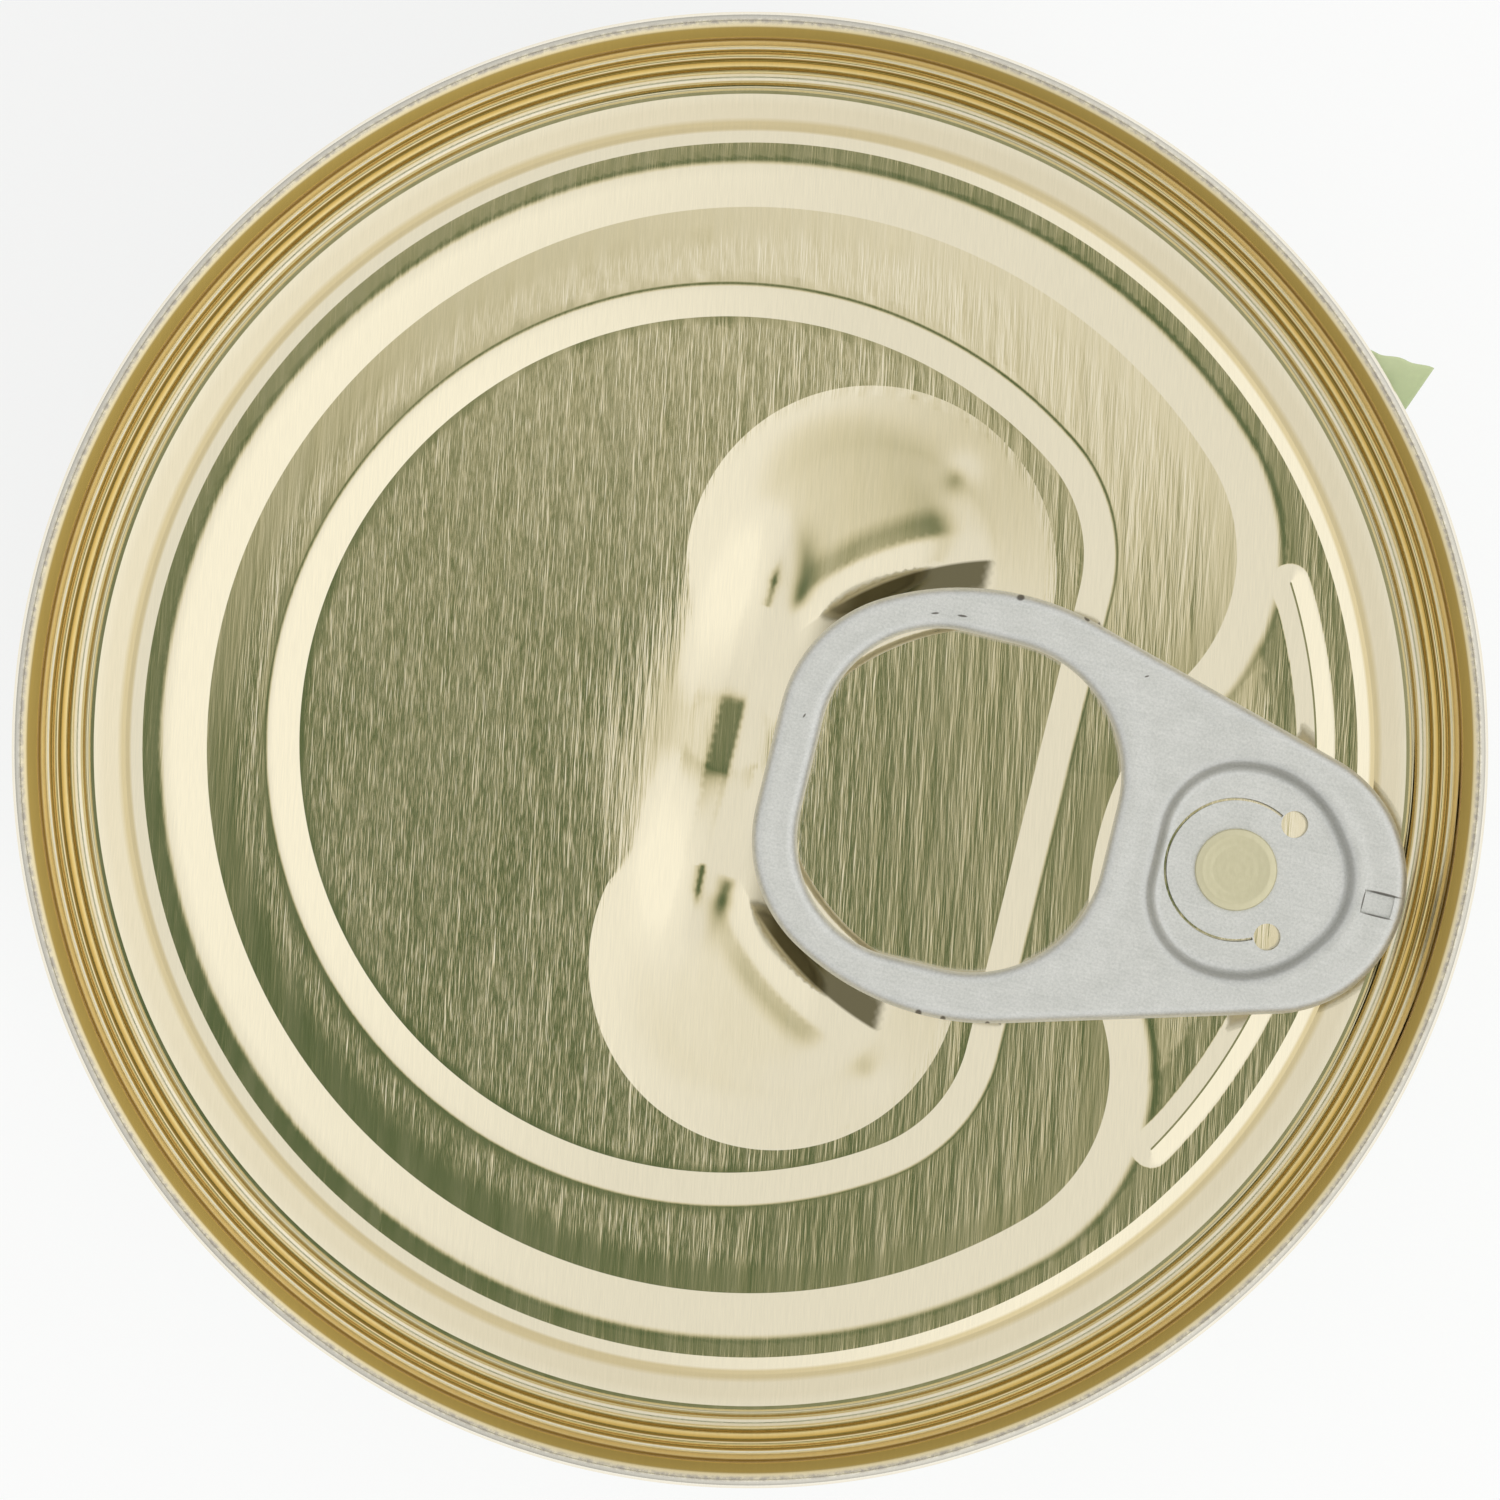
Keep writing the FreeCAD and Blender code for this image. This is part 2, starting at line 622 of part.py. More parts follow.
def make_bottom_end():
    """A plain end with stepped expansion rings, seamed on like the top one."""
    body = new_body("bottom_end")
    floor = "countersink_depth"
    chuck_foot = "seam_radius - seam_thickness"
    corners = [("0", "end_depth"), ("plug_radius", "end_depth"), ("plug_radius", "seam_height")]
    corners += [("seam_radius", "seam_height"), ("seam_radius", "0"), (chuck_foot, "0")]
    corners += [("countersink_outer", floor), ("countersink_inner", floor)]
    corners += [("shoulder_radius", "base_panel_depth")]
    for ring in range(BASE_RINGS):
        edge = f"base_edge - {ring} * base_ring_step"
        corners.append((edge, f"base_panel_depth + {ring} * base_ring_drop"))
        corners.append((f"{edge} - base_ring_slope", f"base_panel_depth + {ring + 1} * base_ring_drop"))
    corners.append(("0", f"base_panel_depth + {BASE_RINGS} * base_ring_drop"))
    feature = revolve(body, "base_blank", corners)
    seam = [("seam_radius", "0"), (chuck_foot, "0"), ("seam_radius", "seam_height")]
    feature = fillet(body, "base_seam_rounding", feature, ring_edges(feature, seam), "seam_roll")
    feet = [("countersink_inner", floor), ("countersink_outer", floor)]
    edges = ring_edges(feature, feet)
    feature = fillet(body, "base_countersink_rounding", feature, edges, "countersink_width / 2")
    edges = ring_edges(feature, [("shoulder_radius", "base_panel_depth")])
    fillet(body, "base_shoulder_rounding", feature, edges, "shoulder_round")
    return body


# ---- the pull tab ----


def make_pull_tab():
    """The tab of aluminium strip, with curled edges, a finger hole and an island on the rivet."""
    body = new_body("pull_tab")
    blank = body.newObject("PartDesign::Pad", "tab_blank")
    blank.Profile = teardrop(body, "tab_outline", "tab", "0", "tab_base")
    bind(blank, Length="tab_thickness")
    doc.recompute()
    opening = body.newObject("PartDesign::Pocket", "finger_opening")
    opening.Profile = finger_hole(body, "hole_outline", "tab_top")
    opening.Type = "Length"
    bind(opening, Length="tab_thickness")
    doc.recompute()
    level = [
        f"Edge{index}"
        for index, edge in enumerate(opening.Shape.Edges, start=1)
        if edge.BoundBox.ZLength < NEAR
    ]
    fillet(body, "curled_edges", opening, level, "tab_edge")

    top = teardrop(body, "island_edge", "island", "0", "tab_top")
    foot = teardrop(body, "island_foot", "island", "(0 - island_slope)", "island_top")
    loft(body, "island", "Subtractive", top, foot)
    primitive(
        body,
        "rivet_hole",
        "SubtractiveCylinder",
        along="rivet",
        up="tab_base",
        Radius="rivet_neck_radius + rivet_play",
        Height="island_plate",
    )
    for name, sign in (("slit_hole_left", 1), ("slit_hole_right", -1)):
        primitive(
            body,
            name,
            "SubtractiveCylinder",
            along="rivet + slit_hole_ahead",
            across=f"{sign} * slit_hole_across",
            up="tab_base",
            Radius="slit_hole_radius",
            Height="island_plate",
        )
    make_slit(body)
    primitive(
        body,
        "notch",
        "SubtractiveBox",
        along="rivet + tab_ahead - notch_length",
        across="0 - notch_width / 2",
        up="tab_top - notch_depth",
        Length="notch_length",
        Width="notch_width",
        Height="notch_depth",
    )
    return body


def make_slit(body):
    """The curved cut that lets the island bend, on the ring's side of the rivet."""
    place = {"role": "XZ_Plane", "along": "rivet", "turn": 180}
    sketch = new_sketch(body, "slit_section", **place)
    inside = "slit_radius - slit_width / 2"
    outside = "slit_radius + slit_width / 2"
    corners = [(inside, "tab_base"), (outside, "tab_base")]
    polygon(sketch, corners + [(outside, "island_top"), (inside, "island_top")])
    slit = body.newObject("PartDesign::Groove", "slit")
    slit.Profile = sketch
    slit.ReferenceAxis = (sketch, ["V_Axis"])
    slit.Midplane = True
    bind(slit, Angle="360 - 2 * slit_opening")
    doc.recompute()
    return slit


# ---- the body and its label ----


def cylinder(name, radius, up, height):
    """A Part cylinder about the can's axis."""
    item = doc.addObject("Part::Cylinder", name)
    return bind(item, Radius=radius, Height=height, Placement__Base__z=up)


def cut(name, base, tool):
    """One shape without another."""
    item = doc.addObject("Part::Cut", name)
    item.Base = base
    item.Tool = tool
    return item


def make_can_body():
    """The body wall with its food as one solid, open at both ends for the plugs of the ends."""
    wall = cylinder("body_wall", "body_radius", "seam_height", "can_height - 2 * seam_height")
    plug = "end_depth - seam_height"
    low = cylinder("bottom_recess", "plug_radius", "seam_height", plug)
    high = cylinder("top_recess", "plug_radius", "can_height - end_depth", plug)
    can_body = cut("can_body", cut("body_open_below", wall, low), high)
    can_body.Label = "can_body"
    return can_body


def on_label(turn, down, depth):
    """A point of the label, by angle in radians, distance below its top edge and radius."""
    top = value("can_height - seam_height - label_gap")
    return FreeCAD.Vector(depth * math.cos(turn), depth * math.sin(turn), top - down)


def corner_points():
    """Points along the fold of the lifted corner, and where the corner was before it was bent."""
    radius = value("outer_layer")
    start = math.radians(size("label_end_angle"))
    fold = []
    for step in range(FOLD_STEPS + 1):
        share = step / FOLD_STEPS
        turn = start + (1 - share) * size("corner_along") / radius
        fold.append(on_label(turn, share * size("corner_down"), radius))
    return fold, on_label(start, 0, radius)


def thin_solid(points, normals, triangles, rim):
    """A thin plate, from points of its middle surface and the rim that closes it."""
    half = size("corner_paper") / 2
    front = [point + normal * half for point, normal in zip(points, normals)]
    back = [point - normal * half for point, normal in zip(points, normals)]
    faces = [[front[i] for i in triangle] for triangle in triangles]
    faces += [[back[i] for i in reversed(triangle)] for triangle in triangles]
    for first, second in zip(rim, rim[1:] + rim[:1]):
        faces.append([front[second], front[first], back[first]])
        faces.append([front[second], back[first], back[second]])
    shell = Part.makeShell([Part.Face(Part.makePolygon(face + face[:1])) for face in faces])
    return Part.makeSolid(shell)


def make_lifted_corner():
    """The corner of the label's outer end, bent out from the can along a slanting fold."""
    fold, corner = corner_points()
    axis = fold[0] - fold[-1]
    bend = FreeCAD.Rotation(axis, size("corner_bend"))
    tip = fold[0] + bend.multVec(corner - fold[0])
    away = (fold[0] + fold[-1]) * 0.5 - corner
    away.normalize()
    roots = []
    for point in fold:
        moved = point + away * size("corner_root")
        reach = math.hypot(point.x, point.y) / math.hypot(moved.x, moved.y)
        roots.append(FreeCAD.Vector(moved.x * reach, moved.y * reach, moved.z))
    count = len(fold)
    points = roots + fold + [tip]
    outward = [FreeCAD.Vector(point.x, point.y, 0).normalize() for point in points]
    triangles = []
    for index in range(count - 1):
        here, there = count + index, count + index + 1
        triangles.append([index, index + 1, there])
        triangles.append([index, there, here])
        triangles.append([here, there, 2 * count])
    rim = list(range(count)) + [2 * count - 1, 2 * count, count]
    item = doc.addObject("Part::Feature", "lifted_corner")
    item.Shape = thin_solid(points, outward, triangles, rim)
    return item


def make_corner_cut():
    """A wedge that takes the flat corner away where the paper is bent out."""
    fold, corner = corner_points()
    triangle = [fold[0], fold[-1], corner + (corner - (fold[0] + fold[-1]) * 0.5)]
    outward = FreeCAD.Vector(corner.x, corner.y, 0).normalize()
    low = [point - outward * size("paper") / 2 for point in triangle]
    face = Part.Face(Part.makePolygon(low + low[:1]))
    item = doc.addObject("Part::Feature", "corner_cut")
    item.Shape = face.extrude(outward * CORNER_REACH)
    return item


def make_label():
    """The paper: one turn about the body, an overlap, and the corner that has come loose."""
    up = "seam_height + label_gap"
    height = "can_height - 2 * (seam_height + label_gap)"
    inside = cylinder("label_inside", "body_radius", up, height)
    turn = cut("label_turn", cylinder("label_outside", "body_radius + paper", up, height), inside)
    below = cylinder("overlap_inside", "body_radius + paper", up, height)
    outer = cylinder("overlap_outside", "body_radius + 2 * paper", up, height)
    outer.Placement.Rotation = FreeCAD.Rotation(Z_DIRECTION, size("label_end_angle"))
    bind(outer, Angle="overlap_angle", Placement__Rotation__Angle="label_end_angle * 1deg")
    lap = cut("label_overlap", cut("overlap_layer", outer, below), make_corner_cut())
    label = doc.addObject("Part::MultiFuse", "label")
    label.Shapes = [turn, lap, make_lifted_corner()]
    label.Label = "label"
    return label


def check(item):
    """Stops the build where an object has failed or its shape is empty or broken."""
    bad = {"Invalid", "Error"} & set(item.State)
    if bad:
        raise RuntimeError(f"{item.Name} is {sorted(bad)}")
    shape = getattr(item, "Shape", None)
    if shape is not None and (shape.isNull() or not shape.isValid()):
        raise RuntimeError(f"{item.Name} has no sound shape")


nodes = [make_can_body(), make_top_end(), make_bottom_end(), make_pull_tab(), make_label()]
doc.recompute()
for item in doc.Objects:
    if item.TypeId not in ("App::Origin", "App::Plane", "App::Line", "App::Point"):
        check(item)
os.makedirs("parts", exist_ok=True)
for node in nodes:
    shape = node.Shape
    if len(shape.Solids) != 1:
        raise RuntimeError(f"{node.Label} has {len(shape.Solids)} solids")
    shape.exportStep(os.path.join("parts", f"{node.Label}.step"))
    box = shape.BoundBox
    print(
        f"{node.Label}: {shape.Volume / 1000:.2f} cm3, "
        f"X {box.XMin:.2f} to {box.XMax:.2f}, Y {box.YMin:.2f} to {box.YMax:.2f}, "
        f"Z {box.ZMin:.2f} to {box.ZMax:.2f}"
    )
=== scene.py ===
# %% [markdown]
# # A can of green beans, shut by a ring-pull lid
#
# This lesson dresses a food can that is already built to size. The solids come in as a fixed
# frame: the body, the two ends, the pull tab and the paper label. Here each of them gets the fine
# shape and the finish that a maker's eye looks for: rolled tinplate with its grain, a lacquer
# whose tint deepens to gold in the rim, with painted shade and painted highlights among its
# tints, a satin aluminium tab, and printed paper.
#
# Lengths are written in millimetres, because that is how a can is specified, and are turned into
# metres only when a mesh is made.

# %% The frame and the tools
import json
import math

import bpy
import numpy as np
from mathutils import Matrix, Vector
from mathutils.geometry import delaunay_2d_cdt
from mathutils.kdtree import KDTree

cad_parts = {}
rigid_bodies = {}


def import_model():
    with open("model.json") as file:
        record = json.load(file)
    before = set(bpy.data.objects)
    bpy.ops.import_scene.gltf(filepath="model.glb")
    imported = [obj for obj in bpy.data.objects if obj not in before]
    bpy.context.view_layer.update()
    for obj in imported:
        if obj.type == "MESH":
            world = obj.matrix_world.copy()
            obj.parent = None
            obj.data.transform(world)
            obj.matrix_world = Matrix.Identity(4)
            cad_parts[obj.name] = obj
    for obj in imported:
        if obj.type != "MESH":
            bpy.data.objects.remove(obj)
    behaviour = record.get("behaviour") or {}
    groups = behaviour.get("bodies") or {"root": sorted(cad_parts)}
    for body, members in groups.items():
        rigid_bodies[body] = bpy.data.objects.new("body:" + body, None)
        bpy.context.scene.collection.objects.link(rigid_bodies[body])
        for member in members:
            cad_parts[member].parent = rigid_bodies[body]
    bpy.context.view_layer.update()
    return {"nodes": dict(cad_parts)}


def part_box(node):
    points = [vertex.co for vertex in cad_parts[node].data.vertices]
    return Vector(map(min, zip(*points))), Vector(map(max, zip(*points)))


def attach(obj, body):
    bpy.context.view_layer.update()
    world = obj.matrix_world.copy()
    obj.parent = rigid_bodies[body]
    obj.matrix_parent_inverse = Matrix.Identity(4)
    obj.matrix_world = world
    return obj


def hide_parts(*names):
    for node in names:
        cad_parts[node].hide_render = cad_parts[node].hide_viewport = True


for leftover in list(bpy.data.objects):
    bpy.data.objects.remove(leftover)
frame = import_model()
MM = 0.001
print("solids:", sorted(frame["nodes"]))

# %% [markdown]
# ## Sizes read from the frame
#
# A radius or a height that the solids already have is read from their boxes, so the looks can't
# drift away from the construction. Only what the boxes can't say, such as how deep a step is
# pressed, is written as a number of its own.

# %% Sizes


def box_mm(node):
    """The lowest and the highest corner of a solid, in millimetres."""
    low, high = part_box(node)
    return np.array(low) / MM, np.array(high) / MM


tab_low, tab_high = box_mm("pull_tab")
RIM, RIM_Z = box_mm("top_end")[1][[0, 2]]
BODY = box_mm("can_body")[1][0]
LABEL_LOW, LABEL_HIGH = box_mm("label")[0][2], box_mm("label")[1][2]
TAB_BASE, TAB_TOP = tab_low[2], tab_high[2]
TAB_AHEAD, TAB_BEHIND = 8.9, 24.9
RIVET = tab_high[0] - TAB_AHEAD
PANEL = RIM_Z - 3.0
FIRST_FLOOR = PANEL - 0.6
SECOND_FLOOR = FIRST_FLOOR - 0.5
SEAM_HEIGHT = 3.0
print(f"rim radius {RIM:.2f}, body radius {BODY:.2f}")
print(f"rivet at x {RIVET:.2f}, panel at z {PANEL:.2f}")

# %% [markdown]
# ## Outlines as paths of arcs
#
# The tool maker who cuts the dies for a lid draws its steps with a compass: every outline is a
# chain of arcs and straight lines that meet smoothly. The same chain can do two jobs here.
# Sampled, it gives the points of a mesh. Measured, it gives the exact distance from any point to
# the outline, and a pressed step is nothing but a height that depends on that distance. A
# sculpted or subdivided surface would be quicker to start, but its step would never be equally
# wide all the way round.

# %% Arcs, lines and the distance to them


def arc(centre, radius, first, last, bulge=1):
    """An arc between two angles in radians. A bulge of -1 dents the outline inwards."""
    centre = np.array(centre, float)
    return {"centre": centre, "radius": radius, "first": first, "last": last, "bulge": bulge}


def straight(start, end):
    """A straight stretch, with the inside of the outline on its left."""
    return {"start": np.array(start, float), "end": np.array(end, float)}


def step_count(piece, spacing):
    """How many equal steps, none longer than the spacing, an arc or a line is cut into."""
    if "radius" in piece:
        length = abs(piece["last"] - piece["first"]) * piece["radius"]
    else:
        length = np.linalg.norm(piece["end"] - piece["start"])
    return max(2, math.ceil(length / spacing))


def sample(path, spacing, counts=None):
    """Points along a closed path. Counts, where given, say how many steps each piece takes."""
    points = []
    for index, piece in enumerate(path):
        count = counts[index] if counts else step_count(piece, spacing)
        share = np.arange(count) / count
        if "radius" in piece:
            angle = piece["first"] + share * (piece["last"] - piece["first"])
            ring = np.stack([np.cos(angle), np.sin(angle)], 1) * piece["radius"]
            points.append(piece["centre"] + ring)
        else:
            points.append(piece["start"] + share[:, None] * (piece["end"] - piece["start"]))
    return np.concatenate(points)


def distance(path, points):
    """The distance from points to a closed smooth path, below zero inside it."""
    nearest = np.full(len(points), np.inf)
    signed = np.zeros(len(points))
    for piece in path:
        if "radius" in piece:
            offset = points - piece["centre"]
            reach = np.hypot(offset[:, 0], offset[:, 1])
            low = min(piece["first"], piece["last"])
            turn = (np.arctan2(offset[:, 1], offset[:, 0]) - low) % (2 * math.pi)
            beside = turn <= abs(piece["last"] - piece["first"]) + 1e-9
            value = piece["bulge"] * (reach - piece["radius"])
        else:
            along = piece["end"] - piece["start"]
            length = np.linalg.norm(along)
            along = along / length
            offset = points - piece["start"]
            place = offset @ along
            beside = (place >= -1e-9) & (place <= length + 1e-9)
            value = offset @ np.array([along[1], -along[0]])
        closer = beside & (np.abs(value) < nearest)
        nearest[closer] = np.abs(value[closer])
        signed[closer] = value[closer]
    return signed


def circle(centre, radius):
    """A whole circle as a path."""
    return [arc(centre, radius, 0, 2 * math.pi)]


seven_away = np.array([[7.0, 0.0]])
print("a circle of radius 5, seen from 7 away:", distance(circle((0, 0), 5), seven_away))

# %% [markdown]
# ## The pressed outlines of the lid
#
# A lid that peels away whole needs its loose panel stiff, so it is pressed down in two steps. The
# first outline is round with a dent that clears the rivet. The second is round with one straight
# side, which lies across the finger hole of the tab. A copy of an outline grown outwards by some
# distance is the same chain with every radius changed by it, and that keeps the slopes even.

# %% Outlines of the two steps
SHOULDER = 34.8
SCORE = SHOULDER - 0.51
MOAT_START = SCORE - 0.24
MOAT_FLOOR = MOAT_START - 1.62
MOAT_TURN = MOAT_FLOOR - 0.35
MOAT_END = MOAT_TURN - 0.55
BEAN = MOAT_END - 3.3
DEE = BEAN - 5.95
PANEL_EDGE = SHOULDER - 0.3
FIRST_SLOPE, SECOND_SLOPE = (1.55, 1.0), (1.3, 0.5)


def bean_outline(grow=0.0):
    """The foot of the first step: a circle of radius BEAN, dented round the rivet."""
    radius, corner, dent = BEAN + grow, 9.0 + grow, 18.35 - grow
    middle = RIVET + 11.1
    x = ((radius - corner) ** 2 - (dent + corner) ** 2 + middle**2) / (2 * middle)
    y = math.sqrt((radius - corner) ** 2 - x**2)
    outer = math.atan2(y, x)
    inner = math.atan2(y, middle - x)
    return [
        arc((0, 0), radius, outer, 2 * math.pi - outer),
        arc((x, -y), corner, -outer, inner),
        arc((middle, 0), dent, math.pi + inner, math.pi - inner, bulge=-1),
        arc((x, y), corner, -inner, outer),
    ]


def dee_outline(grow=0.0):
    """The foot of the second step: a circle of radius DEE with one straight side."""
    radius, corner, flat = DEE + grow, 7.3 + grow, RIVET - 11.25 + grow
    middle = -1.2
    x = flat - corner
    y = math.sqrt((radius - corner) ** 2 - (x - middle) ** 2)
    turn = math.atan2(y, x - middle)
    return [
        straight((flat, -y), (flat, y)),
        arc((x, y), corner, 0, turn),
        arc((middle, 0), radius, turn, 2 * math.pi - turn),
        arc((x, -y), corner, -turn, 0),
    ]


print(f"first step's foot at radius {BEAN:.2f}, second step's at {DEE:.2f}")

# %% [markdown]
# ## The height of the panel
#
# One function gives the height of the whole panel, and everything pressed into it is a term of
# that sum: the two steps, the ring groove, the tear line, the ridge under the tab's nose, the
# finger wells. A real panel isn't flat between its steps either. The sheet springs back a little
# after the press opens, so a flat keeps a tilt of a degree or two, and that is what makes one
# flat look dark and its neighbour tan under the same light.

# %% Terms of the panel's height
WELL_AHEAD = RIVET - 22.0
WELL_ACROSS = 10.55
WELL_RADIUS = 9.65
RIDGE = SCORE - 4.95
RIDGE_END = math.radians(31.0)
RIDGE_HALF = 1.05
RIDGE_HEIGHT = 0.42
CREST_HALF = 0.05
SCORE_HALF, SCORE_DEPTH = 0.07, 0.06
GROOVE_DROPS = [0.0, 0.2, 0.345, 0.0]


def ease(value):
    """A smooth run from 0 to 1."""
    share = np.clip(value, 0, 1)
    return share * share * (3 - 2 * share)


def step_rise(gap, straight_part, soft_part):
    """The share of a step's drop that is left at some distance outside its foot."""
    whole = straight_part + soft_part / 2
    inside = np.clip(gap, 0, straight_part)
    beyond = np.clip(gap - straight_part, 0, soft_part)
    climbed = inside + beyond - beyond**2 / (2 * soft_part)
    return 1 - climbed / whole


def ridge_outline(half):
    """A line at an even distance round the middle of the ridge."""
    tips = [(RIDGE * math.cos(a), RIDGE * math.sin(a)) for a in (RIDGE_END, -RIDGE_END)]
    return [
        arc((0, 0), RIDGE + half, -RIDGE_END, RIDGE_END),
        arc(tips[0], half, RIDGE_END, RIDGE_END + math.pi),
        arc((0, 0), RIDGE - half, RIDGE_END, -RIDGE_END, bulge=-1),
        arc(tips[1], half, math.pi - RIDGE_END, 2 * math.pi - RIDGE_END),
    ]


def ridge_rise(points):
    """The ridge under the tab's nose: a soft foot, straight slopes and a narrow flat crest."""
    gap = distance(ridge_outline(CREST_HALF), points)
    share = np.clip(1 - gap / (RIDGE_HALF - CREST_HALF), 0, 1)
    soft = 0.35
    form = np.where(share < soft, share**2 / (2 * soft), share - soft / 2) / (1 - soft / 2)
    return RIDGE_HEIGHT * form


def ring_groove(radius):
    """The ring groove with its change of slope, and the tear line outside it."""
    corners = [MOAT_END, MOAT_TURN, MOAT_FLOOR, MOAT_START]
    score = np.clip(1 - np.abs(radius - SCORE) / SCORE_HALF, 0, 1) * SCORE_DEPTH
    return np.interp(radius, corners, GROOVE_DROPS) + score


print("ridge's crest stands", ridge_rise(np.array([[RIDGE, 0.0]])), "above the panel")

# %% [markdown]
# ## The finger wells
#
# On either side of the tab's ring the panel is scooped out, so that a fingertip gets under the
# ring. The punch that does it is made to match the ring, so the lines inside a well keep an even
# way from the ring's side: an even fall, a flatter trough, which looks like a dark band, a lip, a
# steeper last fall beside the ring, and the climb to the pad that the ring rests on. The slope is
# what the eye reads, so the slopes are what is written down, and the height is their sum. The
# outer edge is a round one of its own, and the well is the shallower of the two forms, softly
# joined.

# %% The scoop of a finger well
RING_MIDDLE = (RIVET - 13.9, -3.32)
LEAN, LEAN_FROM = 0.15, 5.5
PAD_EDGE, WELL_BOTTOM, LIP, WELL_REACH = 11.8, 14.3, 15.5, 28.0
LIP_SOFT = 0.15
TINY = 1e-9
SCOOP_WAYS = [WELL_BOTTOM, 14.9, LIP, LIP + 0.02, 16.8, 17.3, 18.0, 18.9, WELL_REACH]
SCOOP_SLOPES = [0.0, 0.26, 0.31, 0.18, 0.14, 0.048, 0.04, 0.076, 0.076]
PLAIN_SLOPES = [0.0, 0.24, 0.22, 0.15, 0.12, 0.1, 0.085, 0.076, 0.076]


def ring_way(points):
    """How far points lie from the middle of the ring's side arc, counted longer behind it."""
    x, y = points[:, 0], np.abs(points[:, 1])
    return np.hypot(x - RING_MIDDLE[0], y - RING_MIDDLE[1]) - LEAN * (x - LEAN_FROM)


def ring_line(way, first, last):
    """Points along a line at an even way from the ring's side, between two angles in degrees."""
    angle = np.radians(np.arange(first, last, 1.1 if last > first else -1.1))
    reach = (way + LEAN * (RING_MIDDLE[0] - LEAN_FROM)) / (1 - LEAN * np.cos(angle))
    return RING_MIDDLE + reach[:, None] * np.stack([np.cos(angle), np.sin(angle)], 1)


def scoop(way, slopes):
    """The drop that these slopes add up to at a way from the ring, and the climb to the pad."""
    ways = np.linspace(WELL_BOTTOM, WELL_REACH, 2101)
    steepness = np.interp(ways, SCOOP_WAYS, slopes)
    drops = np.cumsum(steepness[::-1])[::-1] * (ways[1] - ways[0])
    climb = np.clip((WELL_BOTTOM - way) / (WELL_BOTTOM - PAD_EDGE), 0, 1)
    return np.interp(way, ways, drops, right=0.0) * (1 - 0.8 * ease(climb) - 0.2 * climb)


def well_drop(points):
    """The depth of the two finger wells."""
    x, y = points[:, 0], np.abs(points[:, 1])
    inset = np.clip(WELL_RADIUS - np.hypot(x - WELL_AHEAD, y - WELL_ACROSS), 0, None)
    way = ring_way(points)
    banded = ease((x + 0.8) / 4.0) * ease((10.8 - x) / 1.4)
    scooped = banded * scoop(way, SCOOP_SLOPES) + (1 - banded) * scoop(way, PLAIN_SLOPES) + TINY
    edged = 0.135 * inset + 0.022 * np.clip(inset - 3.0, 0, None) ** 2 + TINY
    low, high = np.minimum(scooped, edged), np.maximum(scooped, edged)
    return low * (1 + (low / high) ** 6) ** (-1 / 6) * ease((y - 1.2) / 5.5)


across_well = np.array([[4.0, y] for y in np.arange(6, 20, 0.1)])
print("deepest place of a well:", round(float(well_drop(across_well).max()), 2))

# %% [markdown]
# ## The whole panel
#
# Between the two wells lies a shallow dish, with no edge of its own, and its level bottom is a
# dark spot in the pale saddle. The rest are small things: the seat that the rivet was drawn up
# from, three dents, and the gentle tilt that a flat keeps when the press opens and the sheet
# springs back.

# %% Height of the panel
SEAT_LEVEL, SEAT_END = 2.4, 5.4
DISH = (-1.45, 0.5)
DENTS = [(7.2, 16.6, 1.7, 0.03), (10.2, -15.1, 2.0, 0.04), (0.4, -6.6, 1.3, 0.035)]


def dish_drop(points):
    """The shallow dish between the wells, short towards the ring, and its fall into each well."""
    x, y = points[:, 0] - DISH[0], np.abs(points[:, 1] - DISH[1])
    off = np.clip(np.abs(x) - 0.5, 0, None)
    off = off * off / (off + 0.4)
    behind = 7.4 - 0.55 * np.clip(y - 1.5, 0, 8)
    across = np.clip(np.where(x < 0, off / behind, off / 3.4), 0, 1)
    hollow = 0.34 * (1 - across) ** 2
    spout = np.cos(np.clip(np.abs(x - 0.4) / 3.8, 0, 1) * math.pi / 2) ** 2
    beyond = np.clip(y + 0.25 * np.clip(x, -2, 2) ** 2 - 1.8, 0, 5.2)
    fall = 0.12 * beyond * beyond / (beyond + 0.8)
    return (hollow + spout * fall) * ease((14.0 - y) / 6.0)


def dents(points):
    """Small round dents in the wells."""
    drop = np.zeros(len(points))
    for x, y, size, depth in DENTS:
        away = (points[:, 0] - x) ** 2 + (points[:, 1] - y) ** 2
        drop += depth * np.exp(-away / (size / 2) ** 2)
    return drop


SPRING_TURNS = [-90, -30, 10, 50, 85, 180, 225, 270]
SPRING_TILTS = [0.0, 0.006, 0.01, -0.02, -0.03, -0.027, -0.01, 0.0]


def springback(points, first, second):
    """The gentle tilts that the flats keep after pressing: between the steps, and outside them."""
    radius = np.hypot(points[:, 0], points[:, 1])
    turn = np.degrees(np.arctan2(points[:, 1], points[:, 0]))
    between = np.interp(turn, SPRING_TURNS, SPRING_TILTS, period=360) * (radius - 26.0)
    between = between * first * (1 - second)
    ahead = np.clip(np.cos(np.radians(turn - 40)) + 0.35, 0, 1)
    return between + 0.026 * ahead * (np.clip(radius, 27.0, None) - 31.2) * (1 - first)


